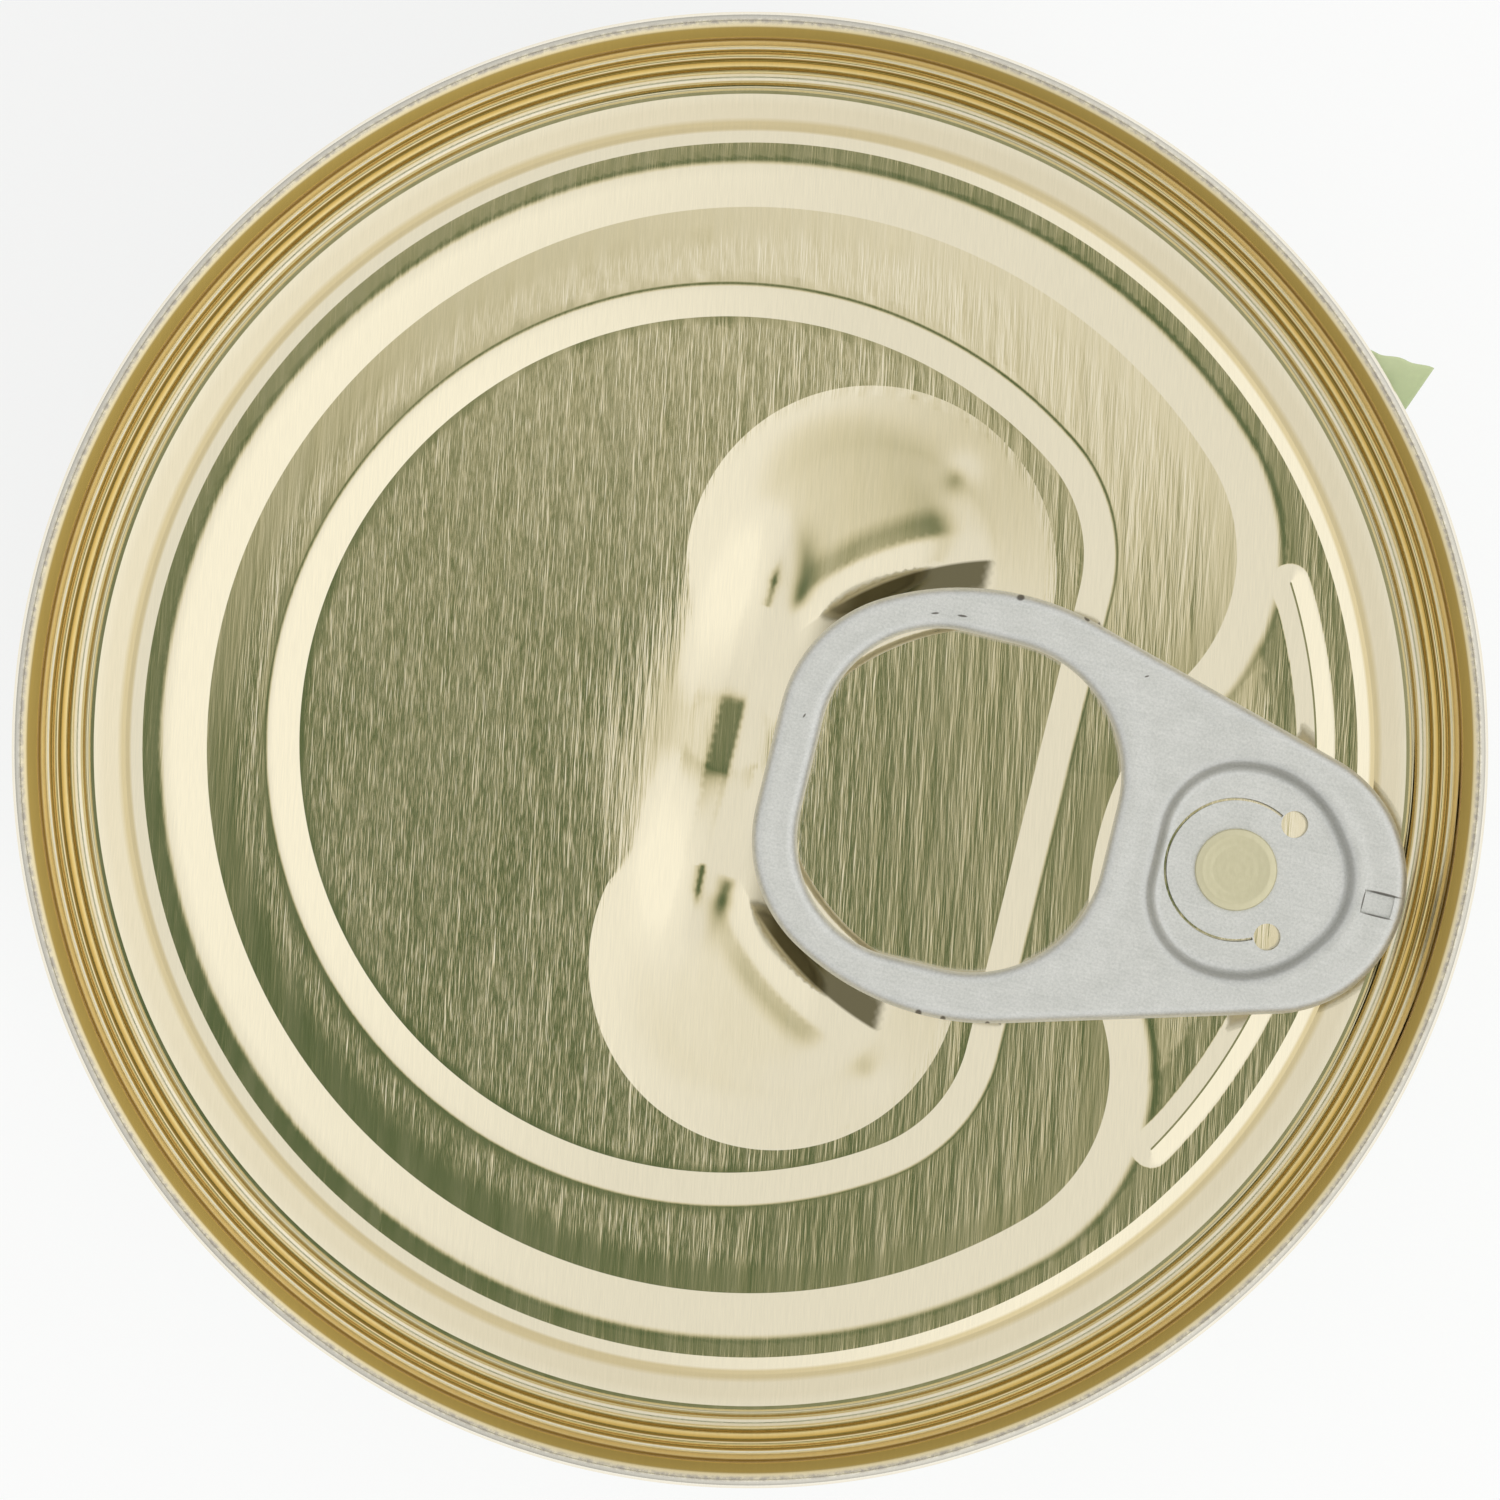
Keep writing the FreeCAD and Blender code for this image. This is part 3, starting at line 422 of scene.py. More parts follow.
def panel_height(points):
    """The height of the panel above the base, in millimetres, at points of the plan."""
    first = step_rise(distance(bean_outline(), points), *FIRST_SLOPE)
    second = step_rise(distance(dee_outline(), points), *SECOND_SLOPE)
    radius = np.hypot(points[:, 0], points[:, 1])
    height = PANEL - (PANEL - FIRST_FLOOR) * first - (FIRST_FLOOR - SECOND_FLOOR) * second
    height = height + springback(points, first, second)
    hollows = (well_drop(points) ** 3 + dish_drop(points) ** 3) ** (1 / 3)
    height = height - hollows - dents(points)
    height = height + ridge_rise(points) - ring_groove(radius)
    from_rivet = np.hypot(points[:, 0] - RIVET, points[:, 1])
    seat = TAB_BASE - 0.04 * np.clip(from_rivet - SEAT_LEVEL, 0, None)
    return height + (seat - height) * ease((SEAT_END - from_rivet) / 0.8)


ahead = np.array([[x, 0.0] for x in (0, 10, 20, 29.4, 33)])
print("heights along +X:", np.round(panel_height(ahead), 3))

# %% [markdown]
# ## A mesh that follows the creases
#
# A crease looks crisp only where edges of the mesh run along it. A square grid would cut across
# the round creases and leave them ragged. So the creases go in first as chains of points, then a
# honeycomb of points fills the room between them, and Blender's own triangulation joins them all
# while it keeps the chains. Each corner then gets the true slope of the height function as its
# normal, which makes smooth places smooth and leaves the creases sharp, with no need for more
# faces.

# %% Chains, honeycomb and normals
SPACING = 0.3
RING_STEPS = 600
WELL_STRIPS = [(LIP, PAD_EDGE, 162), (LIP - LIP_SOFT, PAD_EDGE + 0.9, 148)]


def ring(radius):
    """Points of a full circle about the can's axis."""
    angle = np.arange(RING_STEPS) * 2 * math.pi / RING_STEPS
    return np.stack([np.cos(angle), np.sin(angle)], 1) * radius


def honeycomb(reach, spacing):
    """Points of a honeycomb that covers a disc."""
    rows = int(reach / (spacing * math.sqrt(0.75))) + 1
    columns = int(reach / spacing) + 1
    row, column = np.meshgrid(np.arange(-rows, rows + 1), np.arange(-columns, columns + 1))
    x = (column + (row % 2) * 0.5) * spacing
    y = row * spacing * math.sqrt(0.75)
    points = np.stack([x.ravel(), y.ravel()], 1)
    return points[np.hypot(points[:, 0], points[:, 1]) < reach]


def triangulate(chains, filling, clearance):
    """Joins closed chains and filling points. Filling that lies close to a chain is left out."""
    crowd = np.concatenate(chains)
    tree = KDTree(len(crowd))
    for index, point in enumerate(crowd):
        tree.insert((point[0], point[1], 0), index)
    tree.balance()
    kept = [p for p in filling if tree.find((p[0], p[1], 0))[2] > clearance]
    edges = []
    start = 0
    for chain in chains:
        count = len(chain)
        edges += [(start + i, start + (i + 1) % count) for i in range(count)]
        start += count
    points = [Vector(p) for p in np.concatenate([crowd, np.array(kept)])]
    verts, _, faces, _, _, _ = delaunay_2d_cdt(points, edges, [], 1, 1e-6)
    return np.array([tuple(v) for v in verts]), np.array(faces)


def surface_normals(height, verts, faces):
    """A normal for each corner of each triangle, from the slope of a height function beside it."""
    corners = verts[faces]
    middle = corners.mean(axis=1, keepdims=True)
    probes = (corners * 0.94 + middle * 0.06).reshape(-1, 2)
    step = 0.0008
    east = height(probes + [step, 0]) - height(probes - [step, 0])
    north = height(probes + [0, step]) - height(probes - [0, step])
    normals = np.stack([-east, -north, np.full(len(probes), 2 * step)], 1)
    return normals / np.linalg.norm(normals, axis=1, keepdims=True)


def polygon(corners, spacing):
    """Points along a closed line through corners."""
    points = []
    for start, end in zip(corners, corners[1:] + corners[:1]):
        start, end = np.array(start, float), np.array(end, float)
        count = max(1, math.ceil(np.linalg.norm(end - start) / spacing))
        points.append(start + (np.arange(count) / count)[:, None] * (end - start))
    return np.concatenate(points)


def inside(chain, points):
    """Whether points lie inside a closed chain, by counting how often a line to them crosses it."""
    x, y = points[:, 0], points[:, 1]
    within = np.zeros(len(points), bool)
    for (x0, y0), (x1, y1) in zip(chain, np.roll(chain, -1, axis=0)):
        if y0 != y1:
            crosses = (y0 > y) != (y1 > y)
            within ^= crosses & (x < x0 + (y - y0) * (x1 - x0) / (y1 - y0))
    return within


rings = [ring(r) for r in np.concatenate([
    np.arange(MOAT_END - 0.35, MOAT_END, 0.17),
    np.arange(MOAT_END, MOAT_START, 0.15),
    [MOAT_START, SCORE - SCORE_HALF, SCORE, SCORE + SCORE_HALF, PANEL_EDGE],
])]
chains = rings + [sample(bean_outline(), SPACING), sample(dee_outline(), SPACING)]
chains += [sample(dee_outline(sum(SECOND_SLOPE)), SPACING)]
chains += [sample(bean_outline(FIRST_SLOPE[0]), SPACING)]
chains += [sample(ridge_outline(half), SPACING) for half in (RIDGE_HALF, CREST_HALF)]
for side in (-1, 1):
    chains += [sample(circle((WELL_AHEAD, side * WELL_ACROSS), WELL_RADIUS), SPACING * 0.8)]
for side in (1, -1):
    for outer_way, inner_way, last in WELL_STRIPS:
        outer_line, inner_line = ring_line(outer_way, 92, 148), ring_line(inner_way, last, 87)
        strip = np.concatenate([outer_line, inner_line]) * [1, side]
        chains += [polygon([tuple(p) for p in strip], SPACING)]
filling = honeycomb(MOAT_END - 0.5, SPACING)
panel_points, panel_faces = triangulate(chains, filling, SPACING * 0.55)
print(f"panel: {len(panel_points)} points, {len(panel_faces)} triangles")

# %% [markdown]
# ## Turned shapes
#
# Everything outside the panel is round about the can's axis: the countersink, the chuck wall, the
# double seam. A profile turned about the axis is the natural tool. The profile is given as
# corners with a rounding each, as on a drawing, and the roundings are worked out as arcs.
# Blender's Screw modifier could turn it too, but a few lines of our own let the turned part share
# its last ring of points with the panel.

# %% Profiles and turning


def rounded(corners, steps=5):
    """A profile through corners (radius, height, rounding), with an arc in place of each corner."""
    points = []
    for index, (r, z, rounding) in enumerate(corners):
        here = np.array([r, z])
        if rounding == 0 or index in (0, len(corners) - 1):
            points.append(here)
            continue
        back = np.array(corners[index - 1][:2]) - here
        ahead = np.array(corners[index + 1][:2]) - here
        back_length, ahead_length = np.linalg.norm(back), np.linalg.norm(ahead)
        back, ahead = back / back_length, ahead / ahead_length
        half = math.acos(np.clip(back @ ahead, -1, 1)) / 2
        reach = min(rounding / math.tan(half), 0.49 * back_length, 0.49 * ahead_length)
        size = reach * math.tan(half)
        middle = back + ahead
        centre = here + middle / np.linalg.norm(middle) * size / math.sin(half)
        first = here + back * reach - centre
        last = here + ahead * reach - centre
        sweep = math.pi - 2 * half
        for share in np.linspace(0, 1, steps):
            mix = math.sin((1 - share) * sweep) * first + math.sin(share * sweep) * last
            points.append(centre + mix / math.sin(sweep))
    return np.array(points)


def turned(profile, steps=RING_STEPS, centre=(0.0, 0.0)):
    """Points and four-sided faces of a profile turned about an upright axis."""
    angle = np.arange(steps) * 2 * math.pi / steps
    across, along = np.cos(angle), np.sin(angle)
    points = np.concatenate([
        np.stack([centre[0] + r * across, centre[1] + r * along, np.full(steps, z)], 1)
        for r, z in profile
    ])
    faces = []
    for row in range(len(profile) - 1):
        low, high = row * steps, (row + 1) * steps
        nxt = (np.arange(steps) + 1) % steps
        here = np.arange(steps)
        faces.append(np.stack([low + here, high + here, high + nxt, low + nxt], 1))
    return points, np.concatenate(faces)


def weld(points, faces):
    """Makes one point of points that lie in the same place."""
    keys = np.round(points, 4)
    _, first, place = np.unique(keys, axis=0, return_index=True, return_inverse=True)
    return points[first], [[int(place.ravel()[i]) for i in face] for face in faces]


def make_piece(name, points, faces, sharp=None):
    """A mesh object from points in millimetres, smooth, and sharp where its faces turn hard."""
    mesh = bpy.data.meshes.new(name)
    mesh.from_pydata((np.asarray(points) * MM).tolist(), [], [list(map(int, f)) for f in faces])
    mesh.validate()
    mesh.shade_smooth()
    if sharp is not None:
        mesh.set_sharp_from_angle(angle=math.radians(sharp))
    piece = bpy.data.objects.new(name, mesh)
    bpy.context.scene.collection.objects.link(piece)
    triangles = sum(len(p.vertices) - 2 for p in mesh.polygons)
    print(f"{name}: {len(mesh.vertices)} points, {triangles} triangles")
    return piece


right_angle = [(0, 0, 0), (5, 0, 1), (5, 5, 0)]
print("a rounding of 1 in a right angle:", np.round(rounded(right_angle, 3), 2).tolist())

# %% [markdown]
# ## The lid
#
# The lid is one piece of tinplate, from the middle of its panel to the seam that grips the body.
# The panel's triangles and the turned rim are joined into one mesh, and the points on the ring
# that both have are made one. The rim's profile has the features that a seaming chuck leaves: a
# narrow countersink, a wall that leans outwards with two faint ledges, and a rolled crest.

# %% The lid as one mesh
def seam_corners(level, upwards):
    """The corners of a double seam from its countersink outwards, at the top or at the bottom."""
    drops = [
        (SHOULDER - 0.08, 3.0, 0.2), (35.15, 3.28, 0.3), (35.6, 4.2, 0.45), (36.24, 4.2, 0.36),
        (36.34, 2.75, 0.12), (36.46, 2.6, 0.10), (36.62, 1.15, 0.2), (36.72, 1.0, 0.1),
        (36.79, 0.68, 0.12), (37.28, 0.22, 0.2), (37.6, 0.0, 0.18), (37.95, 0.24, 0.3),
        (RIM, 0.75, 0.4), (RIM, SEAM_HEIGHT, 0.5), (BODY - 0.1, SEAM_HEIGHT, 0),
    ]
    return [(radius, level - upwards * drop, rounding) for radius, drop, rounding in drops]


edge_height = panel_height(np.array([[PANEL_EDGE, 0.0]]))[0]
rim_profile = rounded([(PANEL_EDGE, edge_height, 0)] + seam_corners(RIM_Z, 1), steps=5)
rim_points, rim_faces = turned(rim_profile)
panel_xyz = np.column_stack([panel_points, panel_height(panel_points)])
outer = np.hypot(panel_points[:, 0], panel_points[:, 1]) > PANEL_EDGE - 0.001
panel_xyz[outer, 2] = edge_height
turn = np.arctan2(panel_xyz[outer, 1], panel_xyz[outer, 0]) / (2 * math.pi / RING_STEPS)
panel_xyz[outer, :2] = ring(PANEL_EDGE)[np.round(turn).astype(int) % RING_STEPS]
lid_points = np.concatenate([panel_xyz, rim_points])
lid_faces = [list(f) for f in panel_faces]
lid_faces += [list(f[::-1]) for f in rim_faces + len(panel_xyz)]
lid_points, lid_faces = weld(lid_points, lid_faces)
lid = make_piece("lid", lid_points, lid_faces)


def plan_of(piece):
    """Where the points of a mesh lie in the plan, in millimetres."""
    return np.array([tuple(v.co[:2]) for v in piece.data.vertices]) / MM


def set_panel_normals(piece, height, count):
    """Gives the first faces of a mesh the true slope of the height function at each corner."""
    mesh = piece.data
    normals = np.zeros(len(mesh.loops) * 3)
    mesh.corner_normals.foreach_get("vector", normals)
    normals = normals.reshape(-1, 3)
    flat = plan_of(piece)
    faces = np.array([list(p.vertices) for p in mesh.polygons[:count]])
    normals[: count * 3] = surface_normals(height, flat, faces)
    mesh.normals_split_custom_set(normals.tolist())


def mark(piece, name, values):
    """Stores one number for each point of a mesh, for its material to read."""
    layer = piece.data.attributes.new(name, "FLOAT", "POINT")
    layer.data.foreach_set("value", np.asarray(values, dtype=np.float32))


def ironed(plan):
    """How far the press has smoothed the plate: 0 on its flats, 1 on steps, wells and rim."""
    step_one = 0.8 * ease((3.4 - np.abs(distance(bean_outline(1.0), plan))) / 1.6)
    step_two = 0.9 * ease((1.5 - np.abs(distance(dee_outline(0.9), plan))) / 0.7)
    wells = 0.95 * ease(well_drop(plan) / 0.08)
    saddle = 0.85 * ease((dish_drop(plan) - 0.03) / 0.15)
    calm = 0.5 * ease((plan[:, 0] - 1.0) / 9.0)
    ridge = ease(ridge_rise(plan) / 0.1)
    rim = ease((np.hypot(plan[:, 0], plan[:, 1]) - 31.4) / 0.4)
    return np.max([step_one, step_two, wells, saddle, calm, ridge, rim], axis=0)


def painted_ring_reflection(plan):
    """How far a place lies in the deep line beside the ring, which gets painted shade for the
    ring's dark reflection.
    """
    way = ring_way(plan)
    under = ease((LIP - way) / LIP_SOFT) * ease((way - WELL_BOTTOM + 0.8) / 0.5)
    ends = ease((plan[:, 0] - 0.8) / 3.0) * ease((10.1 - plan[:, 0]) / 0.5)
    return under * ends * (well_drop(plan) > 0.1)


set_panel_normals(lid, panel_height, len(panel_faces))
mark(lid, "ironed", ironed(plan_of(lid)))
# Marks the deep line beside the ring for painted shade, standing for the ring's dark reflection.
mark(lid, "painted_ring_reflection", painted_ring_reflection(plan_of(lid)))
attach(lid, "root")
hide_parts("top_end")

# %% [markdown]
# ## The rivet
#
# The rivet isn't a separate part on a real lid. It is drawn up out of the panel, pushed through
# the tab and then flattened, so its head has the lacquered colour of the lid and fine rings from
# the punch. It is a turned shape of its own here, because the tab lies between it and the panel.

# %% The rivet's head
HEAD = 2.13
RIVET_STEPS = 160
ISLAND_TOP = TAB_BASE + 0.6
rivet_profile = rounded([
    (0.0, ISLAND_TOP + 0.27, 0),
    (1.2, ISLAND_TOP + 0.265, 0.3),
    (1.75, ISLAND_TOP + 0.3, 0.3),
    (HEAD, ISLAND_TOP + 0.26, 0.12),
    (HEAD, ISLAND_TOP + 0.02, 0.05),
    (1.55, ISLAND_TOP, 0),
    (1.55, TAB_BASE - 0.2, 0),
], steps=5)
rivet_points, rivet_faces = turned(rivet_profile[1:], steps=RIVET_STEPS, centre=(RIVET, 0.0))
middle = len(rivet_points)
rivet_points = np.concatenate([rivet_points, [[RIVET, 0.0, rivet_profile[0][1]]]])
rivet_list = [list(f) for f in rivet_faces]
rivet_list += [[i, (i + 1) % RIVET_STEPS, middle] for i in range(RIVET_STEPS)]
rivet = make_piece("rivet", rivet_points, rivet_list, sharp=35)
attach(rivet, "root")

# %% [markdown]
# ## The pull tab
#
# The tab starts as a strip of aluminium whose edges are curled under, so from above every edge is
# a half round, and the flat between them is stamped. It is built like the lid: outlines as chains
# of arcs, copies of them grown inwards for the curl, a triangulated top that follows the chains,
# and real holes where light has to fall through.

# %% Outlines of the tab
EDGE = 0.6
RING_WIDTH, HOLE_LENGTH, HOLE_HALF = 2.3, 15.85, 8.62


def teardrop(behind, ahead, half, widest, corner, side, nose, grow=0.0):
    """A blunt end, bowed sides, straight flanks and a round nose, about the rivet's place."""
    end = RIVET - behind - grow
    tip = RIVET + ahead - nose
    corner, side, nose = corner + grow, side + grow, nose + grow
    side_y = half - side + grow
    corner_x = end + corner
    corner_y = side_y + math.sqrt((side - corner) ** 2 - (corner_x - widest) ** 2)
    span = math.hypot(tip - widest, side_y)
    lean = math.atan2(-side_y, tip - widest) + math.acos((side - nose) / span)
    back = math.atan2(corner_y - side_y, corner_x - widest)
    unit = np.array([math.cos(lean), math.sin(lean)])
    leave = np.array([widest, side_y]) + side * unit
    meet = np.array([tip, 0.0]) + nose * unit
    mirror = np.array([1, -1])
    return [
        straight((end, corner_y), (end, -corner_y)),
        arc((corner_x, -corner_y), corner, math.pi, 2 * math.pi - back),
        arc((widest, -side_y), side, -back, -lean),
        straight(leave * mirror, meet * mirror),
        arc((tip, 0), nose, -lean, lean),
        straight(meet, leave),
        arc((widest, side_y), side, lean, back),
        arc((corner_x, corner_y), corner, back, math.pi),
    ]


def tab_outline(grow=0.0):
    """The outside of the tab."""
    return teardrop(TAB_BEHIND, TAB_AHEAD, 11.18, RIVET - 13.9, 7.5, 14.5, 7.0, grow)


def island_outline(grow=0.0):
    """The upper edge of the pressed island round the rivet."""
    return teardrop(4.3, 6.1, 5.6, RIVET + 0.2, 4.2, 5.7, 4.6, grow)


def hole_outline(grow=0.0):
    """The finger hole, which has larger corners towards the rivet. Growing it widens the hole."""
    start = RIVET - TAB_BEHIND + RING_WIDTH - grow
    stop = RIVET - TAB_BEHIND + RING_WIDTH + HOLE_LENGTH + grow
    half, near, far = HOLE_HALF + grow, 6.15 + grow, 6.85 + grow
    right = math.pi / 2
    return [
        straight((start, half - near), (start, near - half)),
        arc((start + near, near - half), near, 2 * right, 3 * right),
        straight((start + near, -half), (stop - far, -half)),
        arc((stop - far, far - half), far, 3 * right, 4 * right),
        straight((stop, far - half), (stop, half - far)),
        arc((stop - far, half - far), far, 0, right),
        straight((stop - far, half), (start + near, half)),
        arc((start + near, half - near), near, right, 2 * right),
    ]


def slit_outline():
    """The curved slit that lets the island bend when the ring is lifted."""
    first, last = math.radians(62.6), math.radians(360 - 62.6)
    inner, wide = 3.59, 3.73
    tips = [
        (RIVET + reach * math.cos(turn), reach * math.sin(turn))
        for turn in (first, last) for reach in (inner, wide)
    ]
    return [
        arc((RIVET, 0), wide, first, last),
        straight(tips[3], tips[2]),
        arc((RIVET, 0), inner, last, first, bulge=-1),
        straight(tips[0], tips[1]),
    ]


print(f"tab from x {tab_low[0]:.2f} to {tab_high[0]:.2f}, half width {tab_high[1]:.2f}")

# %% [markdown]
# ## Height of the tab's top
#
# The island is pressed down by seven tenths of a millimetre, with rounded shoulders. Round the
# ring the strip is faintly dished between its two curled edges, and at the very tip a short notch
# is stamped, which bites on the tear line when the tab is lifted.

# %% Height of the tab
NOTCH = (RIVET + TAB_AHEAD - 2.2, 0.6, 0.28)


def tab_height(points):
    """The height of the tab's top face above the base."""
    inside_island = -distance(island_outline(), points)
    fall = ease((inside_island + 0.16) / 0.72)
    height = TAB_TOP - (TAB_TOP - ISLAND_TOP) * fall
    rim_gap = np.minimum(-distance(tab_outline(), points), distance(hole_outline(), points))
    dish = 0.055 * ease((rim_gap - EDGE) / 1.2) * (1 - fall)
    lip = 0.05 * np.exp(-(((inside_island + 0.45) / 0.25) ** 2))
    start, half, depth = NOTCH
    x, y = points[:, 0], np.abs(points[:, 1])
    notch = depth * ease((x - start) / 0.08) * ease((half - y) / 0.08)
    return height - dish + lip - notch


def notch_chain(inset=0.0):
    """The stamped notch, which is cut square."""
    start, half, _ = NOTCH
    start, half = start + inset, half - inset
    stop = RIVET + TAB_AHEAD - EDGE - 0.03
    return polygon([(start, -half), (stop, -half), (stop, half), (start, half)], 0.14)


on_ring_and_island = np.array([[RIVET - 10, 10.0], [RIVET + 3.0, 0.0]])
print("tab heights:", np.round(tab_height(on_ring_and_island), 3))

# %% The tab as one mesh
TAB_SPACING = 0.3
outside_counts = [step_count(piece, TAB_SPACING) for piece in tab_outline()]
hole_counts = [step_count(piece, TAB_SPACING) for piece in hole_outline()]
openings = [slit_outline()]
openings += [circle((RIVET + 2.4, side * 3.0), 0.7) for side in (-1, 1)]
openings += [circle((RIVET, 0), 1.6)]
opening_chains = [sample(path, 0.12) for path in openings]
tab_chains = [sample(tab_outline(-EDGE), 0, outside_counts)]
tab_chains += [sample(hole_outline(EDGE), 0, hole_counts)]
tab_chains += [sample(island_outline(grow), TAB_SPACING) for grow in (0.16, 0.0, -0.2, -0.4, -0.56)]
tab_chains += opening_chains + [notch_chain(), notch_chain(0.08)]
low, high = tab_low[:2] - 1, tab_high[:2] + 1
grid = honeycomb(40, TAB_SPACING)
grid = grid[(grid[:, 0] > low[0]) & (grid[:, 0] < high[0]) & (np.abs(grid[:, 1]) < high[1])]
face_points, face_triangles = triangulate(tab_chains, grid, TAB_SPACING * 0.5)
centres = face_points[face_triangles].mean(axis=1)
solid = inside(tab_chains[0], centres)
for chain in [tab_chains[1]] + opening_chains:
    solid &= ~inside(chain, centres)
face_triangles = face_triangles[solid]
curl = np.linspace(0, math.pi / 2, 9)
curl_path = [(EDGE * (1 - math.sin(a)), TAB_TOP - EDGE * (1 - math.cos(a))) for a in curl]
curl_path += [(EDGE * (1 - math.sin(a)), TAB_BASE + EDGE * (1 - math.cos(a))) for a in curl[::-1]]


def curled(outline, counts, inwards):
    """Rings of points that carry a curled edge from the top face round to the underside."""
    rings_made = []
    for inset, z in curl_path:
        ring_points = sample(outline(inwards * inset), 0, counts)
        rings_made.append(np.column_stack([ring_points, np.full(len(ring_points), z)]))
    count = len(rings_made[0])
    here = np.arange(count)
    nxt = (here + 1) % count
    band = np.stack([here, count + here, count + nxt, nxt], 1)
    faces = np.concatenate([band + row * count for row in range(len(rings_made) - 1)])
    return np.concatenate(rings_made), faces if inwards < 0 else faces[:, ::-1]


top_xyz = np.column_stack([face_points, tab_height(face_points)])
under_xyz = np.column_stack([face_points, np.full(len(face_points), TAB_BASE)])
outer_points, outer_faces = curled(tab_outline, outside_counts, -1)
inner_points, inner_faces = curled(hole_outline, hole_counts, 1)
tab_points = np.concatenate([top_xyz, under_xyz, outer_points, inner_points])
count = len(top_xyz)
tab_faces = [list(f) for f in face_triangles]
tab_faces += [list(f[::-1] + count) for f in face_triangles]
tab_faces += [list(f + 2 * count) for f in outer_faces]
tab_faces += [list(f + 2 * count + len(outer_points)) for f in inner_faces]
for chain in opening_chains:
    base = len(tab_points)
    size = len(chain)
    upper = np.column_stack([chain, tab_height(chain)])
    lower = np.column_stack([chain, np.full(size, TAB_BASE)])
    tab_points = np.concatenate([tab_points, upper, lower])
    for i in range(size):
        j = (i + 1) % size
        tab_faces.append([base + j, base + i, base + size + i, base + size + j])
on_curl = distance(tab_outline(-EDGE), tab_points[:, :2]) > -1e-4
on_curl &= (np.abs(tab_points[:, 2] - TAB_TOP) < 0.31) & (np.arange(len(tab_points)) < count)
tab_points[on_curl, 2] = TAB_TOP
tab_points, tab_faces = weld(tab_points, tab_faces)
tab = make_piece("tab", tab_points, tab_faces, sharp=40)
tab_plan = np.array([tuple(v.co) for v in tab.data.vertices]) / MM
beside_island = -distance(island_outline(), tab_plan[:, :2])
on_top = tab_plan[:, 2] > ISLAND_TOP - 0.02
# Marks the island's crease for painted shade.
mark(tab, "painted_crease_shade", np.exp(-(((beside_island - 0.12) / 0.27) ** 2)) * on_top)
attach(tab, "root")
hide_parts("pull_tab")

# %% [markdown]
# ## The bottom end and the body wall
#
# The bottom is seamed on like the lid but has no tear line: its panel rises in low rings that let
# it swell and fall back while the food is cooked in the can. The wall is a plain tube, and only
# narrow bands of it show above and below the label.

# %% Base and wall
BODY_STEPS = 480
base_corners = [(0.0, 4.5, 0)]
for number in (2, 1, 0):
    edge = SHOULDER - 3.8 - number * 8.0
    base_corners += [(edge - 1.2, 3.0 + 0.5 * (number + 1), 0.8), (edge, 3.0 + 0.5 * number, 0.8)]
base_corners += seam_corners(0.0, -1)
base_profile = rounded(base_corners, steps=5)
base_points, base_faces = turned(base_profile[1:], steps=BODY_STEPS)
middle = len(base_points)
base_points = np.concatenate([base_points, [[0.0, 0.0, base_profile[0][1]]]])
base_list = [list(f) for f in base_faces]
base_list += [[middle, i, (i + 1) % BODY_STEPS] for i in range(BODY_STEPS)]
base = make_piece("base", base_points, base_list, sharp=50)
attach(base, "root")
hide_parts("bottom_end")

wall_heights = [SEAM_HEIGHT - 0.2, LABEL_LOW + 1, LABEL_HIGH - 1, RIM_Z - SEAM_HEIGHT + 0.2]
wall_points, wall_faces = turned([(BODY, height) for height in wall_heights], steps=BODY_STEPS)
wall = make_piece("wall", wall_points, wall_faces)
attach(wall, "root")
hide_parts("can_body")

# %% [markdown]
# ## The paper label
#
# The label is one strip of paper, wound once round the body and glued over its own end. So it is
# built as one: a sheet whose columns run round the can, on an outer layer where it overlaps and
# on the body for the rest of the turn. The corner of the free end has come unstuck and curls
# away, as paper does, about a slanting line: points beyond that line are carried round a small
# cylinder.

# %% The label as one wound sheet
PAPER = 0.1
PRINT_UNIT = MM * 10
BACK_SHIFT = -1000.0
LABEL_END = math.radians(40.4)
OVERLAP = math.radians(16.0)
CORNER, CORNER_STEP = 7.8, 0.16
CURL = 2.6
CURL_MOST = math.radians(80.0)


def wound(along, down, lift=0.0):
    """A point of the sheet: an angle along it, a way below its top edge, a lift off the paper."""
    settle = ease((along - OVERLAP) / math.radians(2.0))
    radius = BODY + PAPER * 1.5 - PAPER * settle + lift
    angle = LABEL_END + along
    return np.stack([radius * np.cos(angle), radius * np.sin(angle), LABEL_HIGH - down], -1)


def peeled(points, along, down):
    """Carries the loose corner round a curl that starts on a slanting line."""
    run = along * BODY
    beyond = np.clip((CORNER - run - down) / math.sqrt(2), 0, None)
    slope = np.array([1.0, 1.0]) / math.sqrt(2)
    turn = np.minimum(beyond / CURL, CURL_MOST)
    straight_on = beyond - turn * CURL
    slide = beyond - CURL * np.sin(turn) - straight_on * np.cos(turn)
    rise = CURL * (1 - np.cos(turn)) + straight_on * np.sin(turn)
    rise = rise + 0.07 * np.sin(run * 2 * math.pi / 1.7 + 0.6) * ease(beyond / 2.5)
    angle = LABEL_END + along
    sideways = np.stack([-np.sin(angle), np.cos(angle), np.zeros_like(angle)], -1)
    outwards = np.stack([np.cos(angle), np.sin(angle), np.zeros_like(angle)], -1)
    downwards = np.array([0.0, 0.0, -1.0])
    back = sideways * slope[0] + downwards * slope[1]
    return points + back * slide[..., None] + outwards * rise[..., None]


